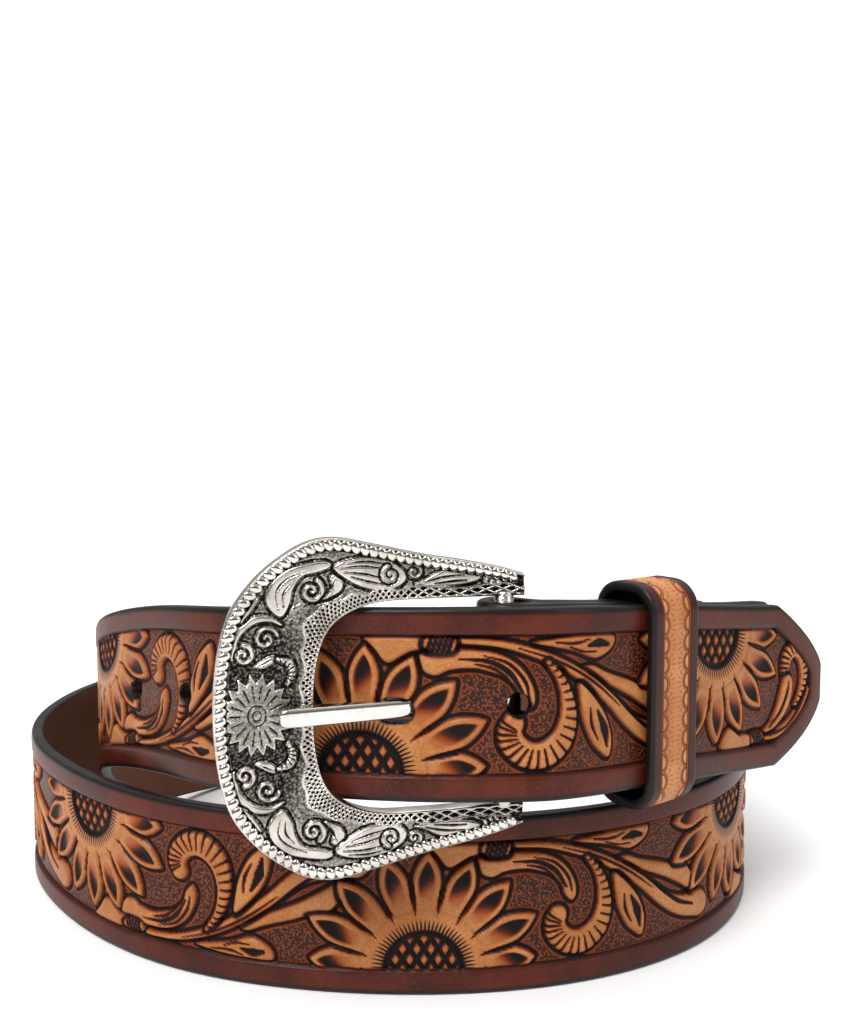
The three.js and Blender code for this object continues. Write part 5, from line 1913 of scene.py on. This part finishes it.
# %% Studio: floor and lights
floor_mesh = bpy.data.meshes.new("floor")
FLOOR_HALF = 6.0
floor_mesh.from_pydata(
    [(-FLOOR_HALF, -FLOOR_HALF, 0), (FLOOR_HALF, -FLOOR_HALF, 0), (FLOOR_HALF, FLOOR_HALF, 0),
     (-FLOOR_HALF, FLOOR_HALF, 0)], [], [(0, 1, 2, 3)],
)
floor = bpy.data.objects.new("floor", floor_mesh)
bpy.context.scene.collection.objects.link(floor)
floor_material, tree, shader = new_material("studio_floor")
shader.inputs["Base Color"].default_value = (0.93, 0.93, 0.93, 1)
shader.inputs["Roughness"].default_value = 0.6
floor.data.materials.append(floor_material)

SKY_LOW, SKY_HIGH, SKY_FRONT = 0.3, 0.95, 0.35
world = bpy.data.worlds.new("studio")
bpy.context.scene.world = world
world.use_nodes = True
sky = world.node_tree
background = sky.nodes["Background"]
background.inputs["Color"].default_value = (1, 1, 1, 1)
direction = sky.nodes.new("ShaderNodeSeparateXYZ")
sky.links.new(sky.nodes.new("ShaderNodeTexCoord").outputs["Generated"], direction.inputs[0])
upward = remap(sky, direction.outputs["Z"], -0.05, 0.8, SKY_LOW, SKY_HIGH)
frontward = remap(sky, direction.outputs["Y"], -1.0, 0.2, SKY_FRONT, 1.0)
sky_light = product(sky, upward, frontward)
seen = sky.nodes.new("ShaderNodeLightPath").outputs["Is Camera Ray"]
sky_strength = sky.nodes.new("ShaderNodeMix")
sky.links.new(seen, sky_strength.inputs[0])
sky.links.new(sky_light, sky_strength.inputs[2])
sky_strength.inputs[3].default_value = 1.0
sky.links.new(sky_strength.outputs[0], background.inputs["Strength"])
bpy.context.scene.view_settings.view_transform = "Standard"


def area_light(name, place, aim, size, power):
    data = bpy.data.lights.new(name, "AREA")
    data.shape = "RECTANGLE"
    data.size, data.size_y = size
    data.energy = power
    light = bpy.data.objects.new(name, data)
    light.location = place
    direction = np.array(aim) - np.array(place)
    light.rotation_mode = "QUATERNION"
    light.rotation_quaternion = Vector(direction).to_track_quat("-Z", "Y")
    bpy.context.scene.collection.objects.link(light)
    return light


sun_data = bpy.data.lights.new("window_light", "SUN")
sun_data.energy = 1.9
sun_data.angle = math.radians(25)
sun = bpy.data.objects.new("window_light", sun_data)
sun.rotation_euler = (math.radians(38), 0, math.radians(-28))
bpy.context.scene.collection.objects.link(sun)
area_light("key_light", (-0.5, -0.7, 0.8), (0, 0, 0.04), (0.5, 0.5), 4.0)
area_light("fill_light", (0.8, -0.5, 0.5), (0, 0, 0.04), (0.4, 0.6), 2.0)
area_light("top_light", (0.0, 0.2, 1.0), (0, 0, 0.04), (0.8, 0.4), 2.5)
